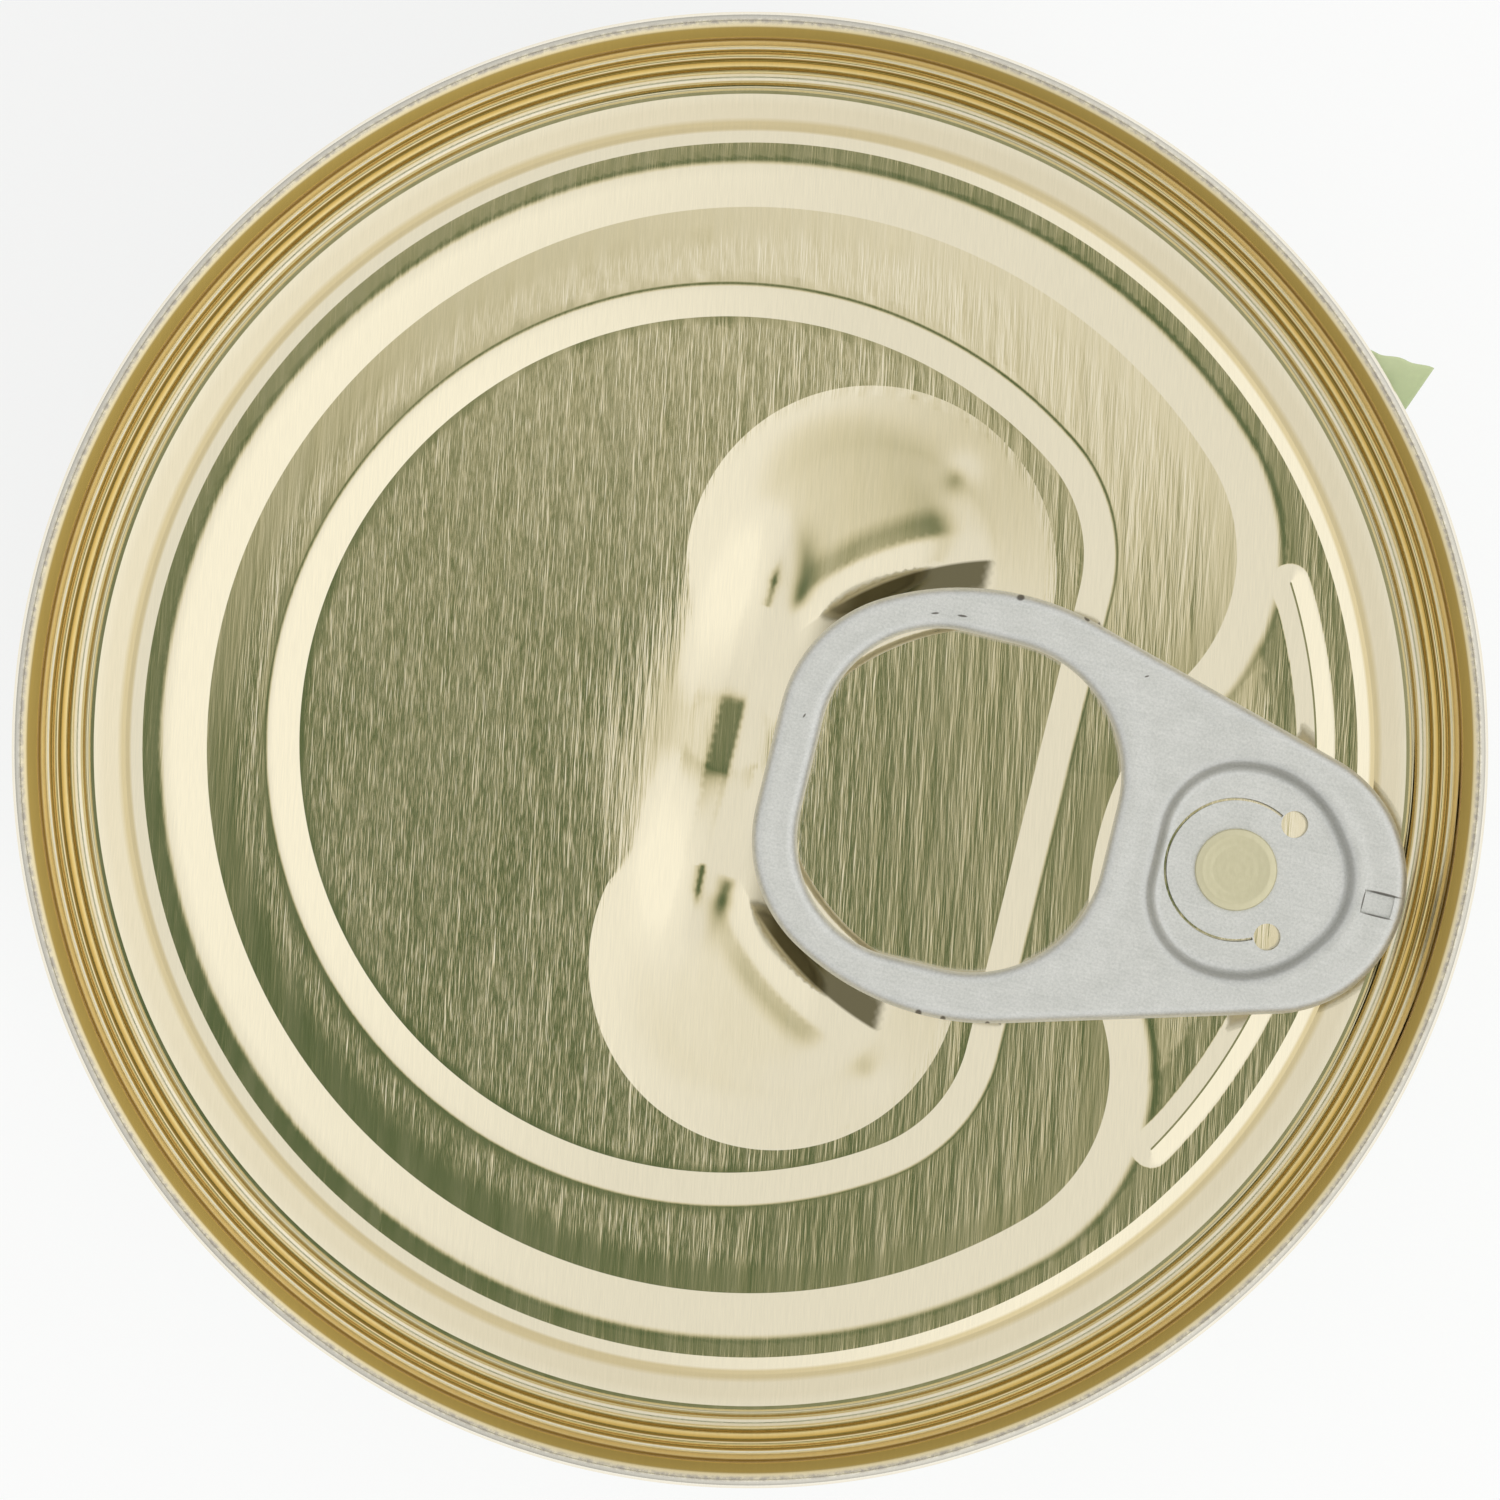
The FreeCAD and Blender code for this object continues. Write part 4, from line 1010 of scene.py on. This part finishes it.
corner_columns = np.arange(0, CORNER + 1.2, CORNER_STEP) / BODY
plain_columns = np.linspace(corner_columns[-1], 2 * math.pi + OVERLAP, 320)[1:]
columns = np.concatenate([corner_columns, plain_columns])
rows = np.concatenate([
    np.arange(0, CORNER + 1.2, CORNER_STEP),
    np.linspace(CORNER + 1.2, LABEL_HIGH - LABEL_LOW, 34)[1:],
])
along, down = np.meshgrid(columns, rows)
sides = []
for lift in (PAPER / 2, -PAPER / 2):
    flat_sheet = wound(along, down, lift)
    sides.append(peeled(flat_sheet, along, down).reshape(-1, 3))
wide, tall = len(columns), len(rows)
front = np.arange(wide * tall).reshape(tall, wide)
back = front + wide * tall
label_faces = []
for grid, turn_over in ((front, -1), (back, 1)):
    quads = np.stack([grid[:-1, :-1], grid[:-1, 1:], grid[1:, 1:], grid[1:, :-1]], -1)
    label_faces += quads.reshape(-1, 4)[:, ::turn_over].tolist()
edge = np.concatenate([front[0], front[1:, -1], front[-1, -2::-1], front[-2:0:-1, 0]])
onward, shift = np.roll(edge, -1), wide * tall
label_faces += np.stack([edge, onward, onward + shift, edge + shift], 1).tolist()
label = make_piece("label_sheet", np.concatenate(sides), label_faces, sharp=50)
print_place = label.data.uv_layers.new(name="print")
place = np.stack([along.ravel() * BODY, (LABEL_HIGH - LABEL_LOW) - down.ravel()], 1)
place = np.concatenate([place, place + [0, BACK_SHIFT]])
loops = np.zeros(len(label.data.loops), int)
label.data.loops.foreach_get("vertex_index", loops)
print_place.data.foreach_set("uv", (place[loops] * PRINT_UNIT).ravel())
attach(label, "root")
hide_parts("label")

# %% [markdown]
# ## Node helpers
#
# A material here is a small network of nodes. Short helpers keep the recipes readable: they add a
# node with its settings, do arithmetic, carry a value from one range to another, blend two
# colours, find a place on the can, and plug the results into a shader.

# %% Helpers for materials


def set_socket(tree, socket, source):
    """Links a socket to another node's output, or sets it to a number or a colour."""
    if isinstance(source, bpy.types.NodeSocket):
        tree.links.new(source, socket)
    else:
        socket.default_value = source


def add(tree, kind, inputs=None, **settings):
    """A node with its settings, and its inputs set or linked."""
    node = tree.nodes.new(kind)
    for name, setting in settings.items():
        setattr(node, name, setting)
    for name, source in (inputs or {}).items():
        set_socket(tree, node.inputs[name], source)
    return node


def sums(tree, operation, first, second=0.0, third=0.0, clamp=False):
    """One step of arithmetic between numbers or sockets."""
    values = {0: first, 1: second, 2: third}
    return add(tree, "ShaderNodeMath", values, operation=operation, use_clamp=clamp).outputs[0]


def times(tree, first, second):
    """The product of two values."""
    return sums(tree, "MULTIPLY", first, second)


def plus(tree, first, second):
    """The sum of two values."""
    return sums(tree, "ADD", first, second)


def minus(tree, first, second):
    """The first value less the second."""
    return sums(tree, "SUBTRACT", first, second)


def spread(tree, value, low=0.0, high=1.0, to_low=0.0, to_high=1.0):
    """A value carried from one range to another, and held at the ends."""
    return add(tree, "ShaderNodeMapRange", {
        "Value": value, "From Min": low, "From Max": high, "To Min": to_low, "To Max": to_high,
    }).outputs[0]


def blend_colour(tree, share, first, second):
    """Two colours blended by a share."""
    node = add(tree, "ShaderNodeMix", data_type="RGBA")
    for name, source in (("Factor", share), ("A", first), ("B", second)):
        socket = [s for s in node.inputs if s.name == name and s.enabled][0]
        set_socket(tree, socket, source)
    return [s for s in node.outputs if s.enabled][0]


def window(tree, value, low, high, soft):
    """1 where a value lies between two limits, with soft shoulders, and 0 elsewhere."""
    rise = spread(tree, value, low - soft, low + soft)
    fall = spread(tree, value, high + soft, high - soft)
    return times(tree, rise, fall)


def place_of(tree):
    """The place of a point in the can's own axes, in metres."""
    return add(tree, "ShaderNodeTexCoord").outputs["Object"]


def reach_of(tree, place):
    """How far a place lies from the upright axis, whatever its height."""
    flat = add(
        tree, "ShaderNodeVectorMath", {0: place, 1: (1.0, 1.0, 0.0)}, operation="MULTIPLY")
    length = add(tree, "ShaderNodeVectorMath", {0: flat.outputs[0]}, operation="LENGTH")
    return length.outputs["Value"]


def mark_of(tree, name):
    """A mark that a mesh carries, such as how far the press has ironed it."""
    return add(tree, "ShaderNodeAttribute", attribute_name=name).outputs["Fac"]


def bumped(tree, height, distance=MM):
    """The normal of a surface that is raised by a height."""
    inputs = {"Height": height, "Distance": distance, "Strength": 1.0}
    return add(tree, "ShaderNodeBump", inputs).outputs[0]


def new_material(name):
    """An empty material with a Principled shader, and its tree."""
    material = bpy.data.materials.new(name)
    material.use_nodes = True
    tree = material.node_tree
    tree.nodes.clear()
    output = tree.nodes.new("ShaderNodeOutputMaterial")
    shader = tree.nodes.new("ShaderNodeBsdfPrincipled")
    tree.links.new(shader.outputs[0], output.inputs[0])
    return material, tree, shader


def plug(tree, shader, colour, roughness, normal=None, metallic=0.0):
    """Sets or links what every finish here has."""
    set_socket(tree, shader.inputs["Base Color"], colour)
    set_socket(tree, shader.inputs["Roughness"], roughness)
    shader.inputs["Metallic"].default_value = metallic
    if normal is not None:
        set_socket(tree, shader.inputs["Normal"], normal)


def dress(piece, material):
    """Puts one material on a piece."""
    piece.data.materials.clear()
    piece.data.materials.append(material)


# %% [markdown]
# ## Lacquered tinplate
#
# The plate was rolled before it was stamped, so its flats carry a fine grain that runs one way
# across the whole lid: streaks a tenth of a millimetre wide and one or two long, over broader
# patches. On the real plate they are scratches, so here they are a bump, with only a trace of
# paint. They show on the flats, where a small tilt decides between dark and bright, and the press
# has ironed them out of the steps and the rim, which the lid's own marks say.

# %% Grain
GRAIN_TURN = math.radians(10.3)


def grain(tree, across, along, seed, detail=2.0, turn=GRAIN_TURN):
    """Streaks that run along the rolling direction, from 0 to 1 about a half."""
    turned_place = add(tree, "ShaderNodeMapping", {
        "Vector": place_of(tree),
        "Rotation": (0.0, 0.0, turn),
        "Scale": (across * MM, along * MM, along * MM),
        "Location": (seed * MM, seed * 0.7 * MM, 0.0),
    }, vector_type="TEXTURE")
    noise = add(tree, "ShaderNodeTexNoise", {
        "Vector": turned_place.outputs[0], "Scale": 1.0, "Detail": detail, "Roughness": 0.6,
    })
    return noise.outputs["Fac"]


def noise_of(tree, size, detail, roughness=0.5):
    """Round blotches of a size in millimetres, from 0 to 1 about a half."""
    return add(tree, "ShaderNodeTexNoise", {
        "Vector": place_of(tree), "Scale": 1 / (size * MM), "Detail": detail,
        "Roughness": roughness,
    }).outputs["Fac"]


def radius_of(tree):
    """The distance from the can's axis, in millimetres."""
    return times(tree, reach_of(tree, place_of(tree)), 1 / MM)


def ramp(tree, value, stops, low=0.0, high=1.0):
    """A colour that changes with a value, through stops of (value, colour)."""
    node = add(tree, "ShaderNodeValToRGB", {"Fac": spread(tree, value, low, high)})
    places = node.color_ramp.elements
    while len(places) < len(stops):
        places.new(0.5)
    for place, (at, colour) in zip(places, sorted(stops, key=lambda stop: stop[0])):
        place.position = (at - low) / (high - low)
        place.color = (*colour, 1.0)
    return node.outputs["Color"]


# %% [markdown]
# ## Lacquer tints in the rim, with painted shade and highlights
#
# The lacquer is a very pale gold on the panel, and its tint is deeper gold in the narrow gutter
# and on the shoulder of the seam. Some tints in the rim are painted light: the two olive-brown
# lines, in the bottom of the countersink and in the crease of the chuck wall, are painted shade,
# and the near-white bands on the countersink's wall, on a ledge of the seam and beside the crest
# are painted highlights. Each tint is written once and put at a radius. The crest itself, where
# cans rub against each other, has worn to grey. The deep line beside the tab's ring gets painted
# shade, standing for the reflection of the ring's dark underside, by its mark on the mesh,
# because reflection alone leaves it too pale.

# %% Lid metal
PALE = (0.965, 0.885, 0.68)
PAINTED_HIGHLIGHT = (0.99, 0.95, 0.84)
WALL = (0.93, 0.80, 0.50)
MILD = (0.90, 0.81, 0.60)
STRAWY = (0.76, 0.64, 0.38)
DULL = (0.80, 0.72, 0.48)
DEEP = (0.74, 0.54, 0.19)
TOFFEE = (0.50, 0.35, 0.11)
PAINTED_SHADE_BROWN = (0.29, 0.17, 0.025)
GOLD = (0.75, 0.53, 0.145)
# Tints by radius: the lacquer's own, with painted highlights in the near-white bands and painted
# shade in the two brown lines.
RIM_TINTS_AND_PAINTED_LIGHT = [
    (32.1, PALE), (32.25, STRAWY), (32.6, STRAWY), (32.85, MILD), (33.5, MILD), (34.2, PALE),
    (34.34, DULL), (34.66, DULL), (34.78, PAINTED_HIGHLIGHT), (35.5, PAINTED_HIGHLIGHT), (35.68, WALL), (35.82, DEEP),
    (35.9, TOFFEE), (35.95, PAINTED_SHADE_BROWN), (35.99, PAINTED_SHADE_BROWN), (36.05, WALL), (36.3, WALL), (36.36, PAINTED_HIGHLIGHT),
    (36.47, PAINTED_HIGHLIGHT), (36.52, STRAWY), (36.6, STRAWY), (36.66, PAINTED_SHADE_BROWN), (36.74, PAINTED_SHADE_BROWN),
    (36.8, GOLD), (37.22, GOLD), (37.34, WALL), (37.6, PALE), (37.7, PAINTED_HIGHLIGHT), (37.9, PAINTED_HIGHLIGHT),
    (38.02, MILD),
]
WORN_TINT = (0.48, 0.44, 0.38, 1)
# Painted shade that stands for the reflection of the ring's dark underside.
PAINTED_RING_REFLECTION_TINT = (0.10, 0.085, 0.03, 1)
BLACK = (0, 0, 0, 1)


def lid_material(name, fine_bump, broad_bump, roughness):
    """Lacquered tinplate with grain, rim tints with painted shade and highlights, painted shade
    beside the ring and a worn crest.
    """
    material, tree, shader = new_material(name)
    fine = grain(tree, 0.065, 1.3, 3.0, detail=1.5)
    wider = grain(tree, 0.14, 2.4, 7.0, detail=1.0)
    broad = grain(tree, 0.9, 8.0, 11.0, detail=2.5)
    radius = radius_of(tree)
    scuffs = grain(tree, 0.35, 0.35, 31.0, detail=4.0)
    crest = window(tree, radius, 37.45, 37.68, 0.08)
    worn = times(tree, crest, spread(tree, scuffs, 0.36, 0.6, to_low=0.25))
    # Lacquer tints by radius, with painted highlights and painted shade in the rim.
    colour = ramp(tree, radius, RIM_TINTS_AND_PAINTED_LIGHT, 32.0, 38.5)
    colour = blend_colour(tree, spread(tree, fine, 0.3, 0.7, to_low=0.955), BLACK, colour)
    colour = blend_colour(tree, worn, colour, WORN_TINT)
    # Painted shade in the deep line beside the ring, standing for the reflection of its dark
    # underside.
    ring_reflection_share = times(tree, mark_of(tree, "painted_ring_reflection"), 0.9)
    colour = blend_colour(tree, ring_reflection_share, colour, PAINTED_RING_REFLECTION_TINT)
    rough = spread(tree, broad, 0.3, 0.7, roughness * 0.85, roughness * 1.2)
    rough = plus(tree, rough, times(tree, worn, 0.2))
    height = 0.0
    for streaks, depth in ((fine, fine_bump), (wider, fine_bump * 1.5), (broad, broad_bump)):
        height = plus(tree, times(tree, minus(tree, streaks, 0.5), depth), height)
    height = times(tree, height, minus(tree, 1.0, mark_of(tree, "ironed")))
    plug(tree, shader, colour, rough, bumped(tree, height), metallic=1.0)
    return material


lacquered = lid_material("lacquered_tinplate", 0.0056, 0.042, 0.11)
dress(lid, lacquered)
dress(base, lacquered)
PUNCH_PITCH = 0.42


def rivet_material():
    """The rivet's head: the lid's own metal, stretched dull, with fine rings from the punch."""
    material, tree, shader = new_material("punched_tinplate")
    middle = (RIVET * MM, 0.0, 0.0)
    offset = add(
        tree, "ShaderNodeVectorMath", {0: place_of(tree), 1: middle}, operation="SUBTRACT")
    reach = reach_of(tree, offset.outputs[0])
    rings = sums(tree, "SINE", times(tree, reach, 2 * math.pi / (PUNCH_PITCH * MM)))
    scuffs = grain(tree, 0.25, 0.4, 5.0, detail=3.0)
    colour = blend_colour(tree, scuffs, (0.70, 0.66, 0.45, 1), (0.81, 0.76, 0.54, 1))
    height = plus(tree, times(tree, rings, 0.0022), times(tree, scuffs, 0.01))
    plug(tree, shader, colour, 0.42, bumped(tree, height), metallic=1.0)
    return material


dress(rivet, rivet_material())

# %% [markdown]
# ## Tinplate, aluminium and paper
#
# The wall is bare tinplate, brighter and greyer than the lacquered lid. The tab is aluminium
# strip that was tumbled and handled: a satin surface, finely speckled, with faint lines along its
# length. Its island's crease gets painted shade, and the edges of the stamped notch get painted
# shadow lines.

# %% Wall and tab metal


def wall_material():
    """Bright tinplate, rolled round the body."""
    material, tree, shader = new_material("bright_tinplate")
    lines = grain(tree, 3.0, 3.0, 5.0)
    rough = spread(tree, lines, to_low=0.2, to_high=0.34)
    colour = blend_colour(tree, lines, (0.66, 0.65, 0.61, 1), (0.74, 0.73, 0.69, 1))
    plug(tree, shader, colour, rough, metallic=1.0)
    return material


def fleck(tree, x, y, length, width, turn=0.0):
    """A small mark at one place of the plan, in millimetres, from 1 at its middle to 0 outside."""
    spot = add(tree, "ShaderNodeMapping", {
        "Vector": place_of(tree),
        "Rotation": (0.0, 0.0, turn),
        "Location": (x * MM, y * MM, 0.0),
        "Scale": (length / 2 * MM, width / 2 * MM, 1.0),
    }, vector_type="TEXTURE").outputs[0]
    return spread(tree, reach_of(tree, spot), 1.0, 0.6)


# Small dark marks. Those at x 33.6, 33.5 and 32.62 are painted shadow lines along the edges of the
# stamped notch, and the rest are nicks.
TAB_NICKS_AND_NOTCH_SHADOWS = [
    (11.7, 11.0, 0.5, 0.4, 0.4), (11.7, -11.1, 0.4, 0.4, 0.0), (13.0, -11.1, 0.35, 0.35, 0.0),
    (15.3, 10.75, 0.4, 0.25, -0.4), (15.3, -10.8, 0.3, 0.3, 0.0), (7.6, 9.15, 0.5, 0.12, 0.3),
    (9.0, 9.35, 0.6, 0.14, 0.1), (33.6, 0.6, 2.2, 0.16, 0.0), (33.5, -0.6, 1.9, 0.1, 0.0),
    (32.62, 0.0, 0.12, 1.2, 0.0), (2.3, 2.4, 0.3, 0.1, 1.2), (19.0, 8.6, 0.3, 0.1, 0.5),
]


def tab_material():
    """Satin aluminium, speckled and blotchy, with painted shade in the island's crease, a few nicks
    and painted shadow lines at the notch.
    """
    material, tree, shader = new_material("satin_aluminium")
    speckle = noise_of(tree, 0.14, 2.0, 0.7)
    lines = grain(tree, 2.5, 0.14, 17.0, turn=0.0)
    clouds = noise_of(tree, 1.6, 3.0)
    mix = plus(tree, times(tree, speckle, 0.55), times(tree, lines, 0.2))
    mix = plus(tree, mix, times(tree, clouds, 0.25))
    tone = spread(tree, mix, 0.35, 0.65)
    colour = blend_colour(tree, tone, (0.67, 0.68, 0.655, 1), (0.85, 0.85, 0.825, 1))
    # Painted shade in the island's crease.
    painted_crease_shade = times(tree, mark_of(tree, "painted_crease_shade"), 0.42)
    colour = blend_colour(tree, painted_crease_shade, colour, (0.20, 0.20, 0.185, 1))
    # Nicks, and painted shadow lines along the notch's edges.
    nicks_and_notch_shadows = 0.0
    for x, y, length, width, turn in TAB_NICKS_AND_NOTCH_SHADOWS:
        nicks_and_notch_shadows = sums(tree, "MAXIMUM", fleck(tree, x, y, length, width, turn), nicks_and_notch_shadows)
    colour = blend_colour(tree, times(tree, nicks_and_notch_shadows, 0.8), colour, (0.07, 0.055, 0.04, 1))
    rough = spread(tree, clouds, to_low=0.42, to_high=0.56)
    plug(tree, shader, colour, rough, bumped(tree, mix, 0.02 * MM), metallic=1.0)
    return material


dress(wall, wall_material())
dress(tab, tab_material())

# %% [markdown]
# ## The printed paper
#
# The label is drawn with flat inks: bands of green above and below, a cream panel three times
# round the can, and a fan of bean pods on it. A picture file would be the usual way to print a
# label. The shapes here are few and plain, so each is a formula of the place on the paper and
# stays crisp at any distance. A pod is an ellipse bent along a parabola, shaded across its width,
# with soft swells where its seeds lie. The back of the paper is plain, and shows where the corner
# has curled.

# %% Inks and pods
REPEAT = (2 * math.pi * BODY) / 3
LEAF = (0.23, 0.42, 0.11, 1)
DARK_LEAF = (0.035, 0.15, 0.05)
CREAM = (0.86, 0.83, 0.68)
STRAW = (0.80, 0.62, 0.20)
BANDS = [
    (-0.5, 13.0, DARK_LEAF), (14.0, 15.0, CREAM), (92.0, 103.0, DARK_LEAF), (90.0, 91.0, CREAM),
    (6.0, 7.2, STRAW),
]
POD_HALF, SEED_PITCH = 2.7, 6.5
YOUNG_POD, RIPE_POD, DEEP_POD = (0.30, 0.52, 0.12), (0.17, 0.38, 0.07), (0.10, 0.27, 0.05)
PODS = [
    (-3.0, 66.0, 0.10, 25.0, -0.006, DEEP_POD), (2.0, 60.0, -0.16, 26.0, 0.005, RIPE_POD),
    (-4.0, 54.5, 0.20, 25.0, 0.006, YOUNG_POD), (4.0, 47.0, -0.08, 26.0, -0.005, DEEP_POD),
    (-2.0, 42.0, 0.14, 24.0, 0.007, RIPE_POD), (3.0, 36.0, -0.22, 22.0, 0.006, YOUNG_POD),
]


def steep(tree, value, power):
    """The size of a value, raised to a power."""
    return sums(tree, "POWER", sums(tree, "ABSOLUTE", value), power)


def pod(tree, run, up, shape, tint, under):
    """One bean pod over the colour under it. Its shape is a place, turn, length and bend."""
    x, y, turn, length, bend = shape
    cosine, sine = math.cos(turn), math.sin(turn)
    dx, dy = minus(tree, run, x), minus(tree, up, y)
    along = plus(tree, times(tree, dx, cosine), times(tree, dy, sine))
    beside = minus(tree, times(tree, dy, cosine), times(tree, dx, sine))
    beside = minus(tree, beside, times(tree, times(tree, along, along), bend))
    across = sums(tree, "DIVIDE", beside, POD_HALF)
    tips = steep(tree, sums(tree, "DIVIDE", along, length), 3.0)
    body = minus(tree, 1.0, plus(tree, times(tree, across, across), tips))
    wave = sums(tree, "COSINE", times(tree, along, 2 * math.pi / SEED_PITCH))
    swells = plus(tree, times(tree, wave, 0.12), 0.45)
    light = sums(tree, "ADD", times(tree, across, 0.38), swells, clamp=True)
    shadow = tuple(0.45 * c for c in tint) + (1,)
    shine = tuple(min(1, 1.7 * c + 0.05) for c in tint) + (1,)
    shaded = blend_colour(tree, light, shadow, shine)
    return blend_colour(tree, spread(tree, body, 0.0, 0.05), under, shaded)


# %% Label paper
def paper_material():
    """Printed paper: bands and pods on its face, plain pale green on its back, fibres in both."""
    material, tree, shader = new_material("label_print")
    spot = add(tree, "ShaderNodeUVMap", uv_map="print").outputs[0]
    unit = (1 / PRINT_UNIT, 1 / PRINT_UNIT, 0.0)
    in_mm = add(tree, "ShaderNodeVectorMath", {0: spot, 1: unit}, operation="MULTIPLY")
    parts = add(tree, "ShaderNodeSeparateXYZ", {"Vector": in_mm.outputs[0]}).outputs
    run, up = sums(tree, "WRAP", parts[0], REPEAT / 2, -REPEAT / 2), parts[1]
    colour = LEAF
    for low, high, tint in BANDS:
        colour = blend_colour(tree, window(tree, up, low, high, 0.06), colour, (*tint, 1))
    wide = steep(tree, sums(tree, "DIVIDE", run, 33.0), 2.6)
    tall = steep(tree, sums(tree, "DIVIDE", minus(tree, up, 52.0), 29.0), 2.6)
    oval = plus(tree, wide, tall)
    for edge, tint in ((1.12, DARK_LEAF), (1.06, CREAM)):
        within = spread(tree, oval, edge, edge - 0.012)
        colour = blend_colour(tree, within, colour, (*tint, 1))
    for x, y, turn, length, bend, tint in PODS:
        colour = pod(tree, run, up, (x, y, turn, length, bend), tint, colour)
    back = sums(tree, "LESS_THAN", up, -1.0)
    fibres = noise_of(tree, 0.35, 4.0, 0.65)
    clouds = noise_of(tree, 6, 2.0)
    plain = blend_colour(tree, clouds, (0.48, 0.56, 0.30, 1), (0.64, 0.70, 0.44, 1))
    colour = blend_colour(tree, back, colour, plain)
    colour = blend_colour(tree, spread(tree, fibres, 0.3, 0.7, to_low=0.95), BLACK, colour)
    rough = spread(tree, fibres, to_low=0.34, to_high=0.5)
    rough = plus(tree, rough, times(tree, back, 0.3))
    height = plus(tree, times(tree, fibres, 0.006), times(tree, clouds, 0.12))
    plug(tree, shader, colour, rough, bumped(tree, height))
    return material


dress(label, paper_material())

# %% [markdown]
# ## Floor, light and camera
#
# The can stands on a plain pale floor under a white sky, with one large soft lamp on the side of
# the tab's nose. Metal shows what is around it, so the dark flats of the lid need something dark
# above them: a dim green-grey canopy almost overhead, seen only in reflections. The slopes and
# wells look past it to the white, and that contrast draws the pressing.

# %% Stage and light
world = bpy.data.worlds.new("studio")
bpy.context.scene.world = world
world.use_nodes = True
sky = world.node_tree
sky.nodes.clear()
sky_out = sky.nodes.new("ShaderNodeOutputWorld")
direction = add(sky, "ShaderNodeTexCoord").outputs["Generated"]
parts = add(sky, "ShaderNodeSeparateXYZ", {"Vector": direction}).outputs
canopy = Vector((-0.04, -0.042, 1.0)).normalized()
towards = {0: direction, 1: tuple(canopy)}
cosine = add(sky, "ShaderNodeVectorMath", towards, operation="DOT_PRODUCT").outputs["Value"]
away = sums(sky, "ARCCOSINE", sums(sky, "MINIMUM", cosine, 1.0))
away = times(sky, away, 180 / math.pi)
graded = ramp(sky, away, [
    (0.0, (0.075, 0.125, 0.055)), (2.6, (0.10, 0.15, 0.067)), (5.0, (0.27, 0.29, 0.16)),
    (7.4, (0.66, 0.63, 0.46)), (9.9, (0.90, 0.87, 0.75)), (12.5, (1.0, 1.0, 0.98)),
], 0.0, 16.0)
side = times(sky, spread(sky, parts[0], 0.0, 0.45, 0.81), spread(sky, parts[2], 0.1, 0.55, 0.5))
bright = add(sky, "ShaderNodeCombineXYZ", {0: side, 1: side, 2: side}).outputs[0]
glossy_sky = add(sky, "ShaderNodeVectorMath", {0: graded, 1: bright}, operation="MULTIPLY")
light_path = add(sky, "ShaderNodeLightPath").outputs
plain_sky = blend_colour(sky, light_path["Is Camera Ray"], (0.75, 0.75, 0.75, 1), (1, 1, 1, 1))
seen = blend_colour(sky, light_path["Is Glossy Ray"], plain_sky, glossy_sky.outputs[0])
background = add(sky, "ShaderNodeBackground", {"Color": seen, "Strength": 1.0})
sky.links.new(background.outputs[0], sky_out.inputs[0])

floor_mesh = bpy.data.meshes.new("floor")
floor_mesh.from_pydata([(-3, -3, 0), (3, -3, 0), (3, 3, 0), (-3, 3, 0)], [], [(0, 1, 2, 3)])
floor = bpy.data.objects.new("floor", floor_mesh)
bpy.context.scene.collection.objects.link(floor)
pale, tree, shader = new_material("pale_floor")
shader.inputs["Base Color"].default_value = (0.9, 0.9, 0.9, 1)
shader.inputs["Roughness"].default_value = 0.9
path = add(tree, "ShaderNodeLightPath").outputs
seen_plainly = sums(tree, "MAXIMUM", path["Is Camera Ray"], path["Is Glossy Ray"])
seen_plainly = sums(tree, "MAXIMUM", seen_plainly, path["Is Transmission Ray"])
glow = add(tree, "ShaderNodeEmission", {"Color": (1, 1, 1, 1), "Strength": 1.0})
mix = add(tree, "ShaderNodeMixShader", {"Fac": times(tree, seen_plainly, 0.75)})
tree.links.new(shader.outputs[0], mix.inputs[1])
tree.links.new(glow.outputs[0], mix.inputs[2])
output = [n for n in tree.nodes if n.type == "OUTPUT_MATERIAL"][0]
tree.links.new(mix.outputs[0], output.inputs[0])
dress(floor, pale)

lamp_data = bpy.data.lights.new("soft_lamp", "AREA")
lamp_data.shape = "DISK"
lamp_data.size = 0.5
lamp_data.energy = 4.0
lamp = bpy.data.objects.new("soft_lamp", lamp_data)
lamp.location = (0.55, -0.35, 0.8)
towards_lamp = lamp.location - Vector((0, 0, 0.08))
lamp.rotation_euler = towards_lamp.to_track_quat("Z", "Y").to_euler()
lamp.visible_glossy = False
bpy.context.scene.collection.objects.link(lamp)

# %% Camera
CAMERA_ABOVE = 400.0
FRAME_WIDTH = 77.25
SENSOR = 36.0
CAMERA_TURN = math.radians(13.84)
camera_data = bpy.data.cameras.new("camera")
camera_data.sensor_width = SENSOR
camera_data.lens = SENSOR * CAMERA_ABOVE / FRAME_WIDTH
camera = bpy.data.objects.new("camera", camera_data)
camera.location = (0.0, 0.0, (RIM_Z + CAMERA_ABOVE) * MM)
camera.rotation_euler = (0.0, 0.0, CAMERA_TURN)
bpy.context.scene.collection.objects.link(camera)
bpy.context.scene.camera = camera
bpy.context.scene.view_settings.view_transform = "Standard"
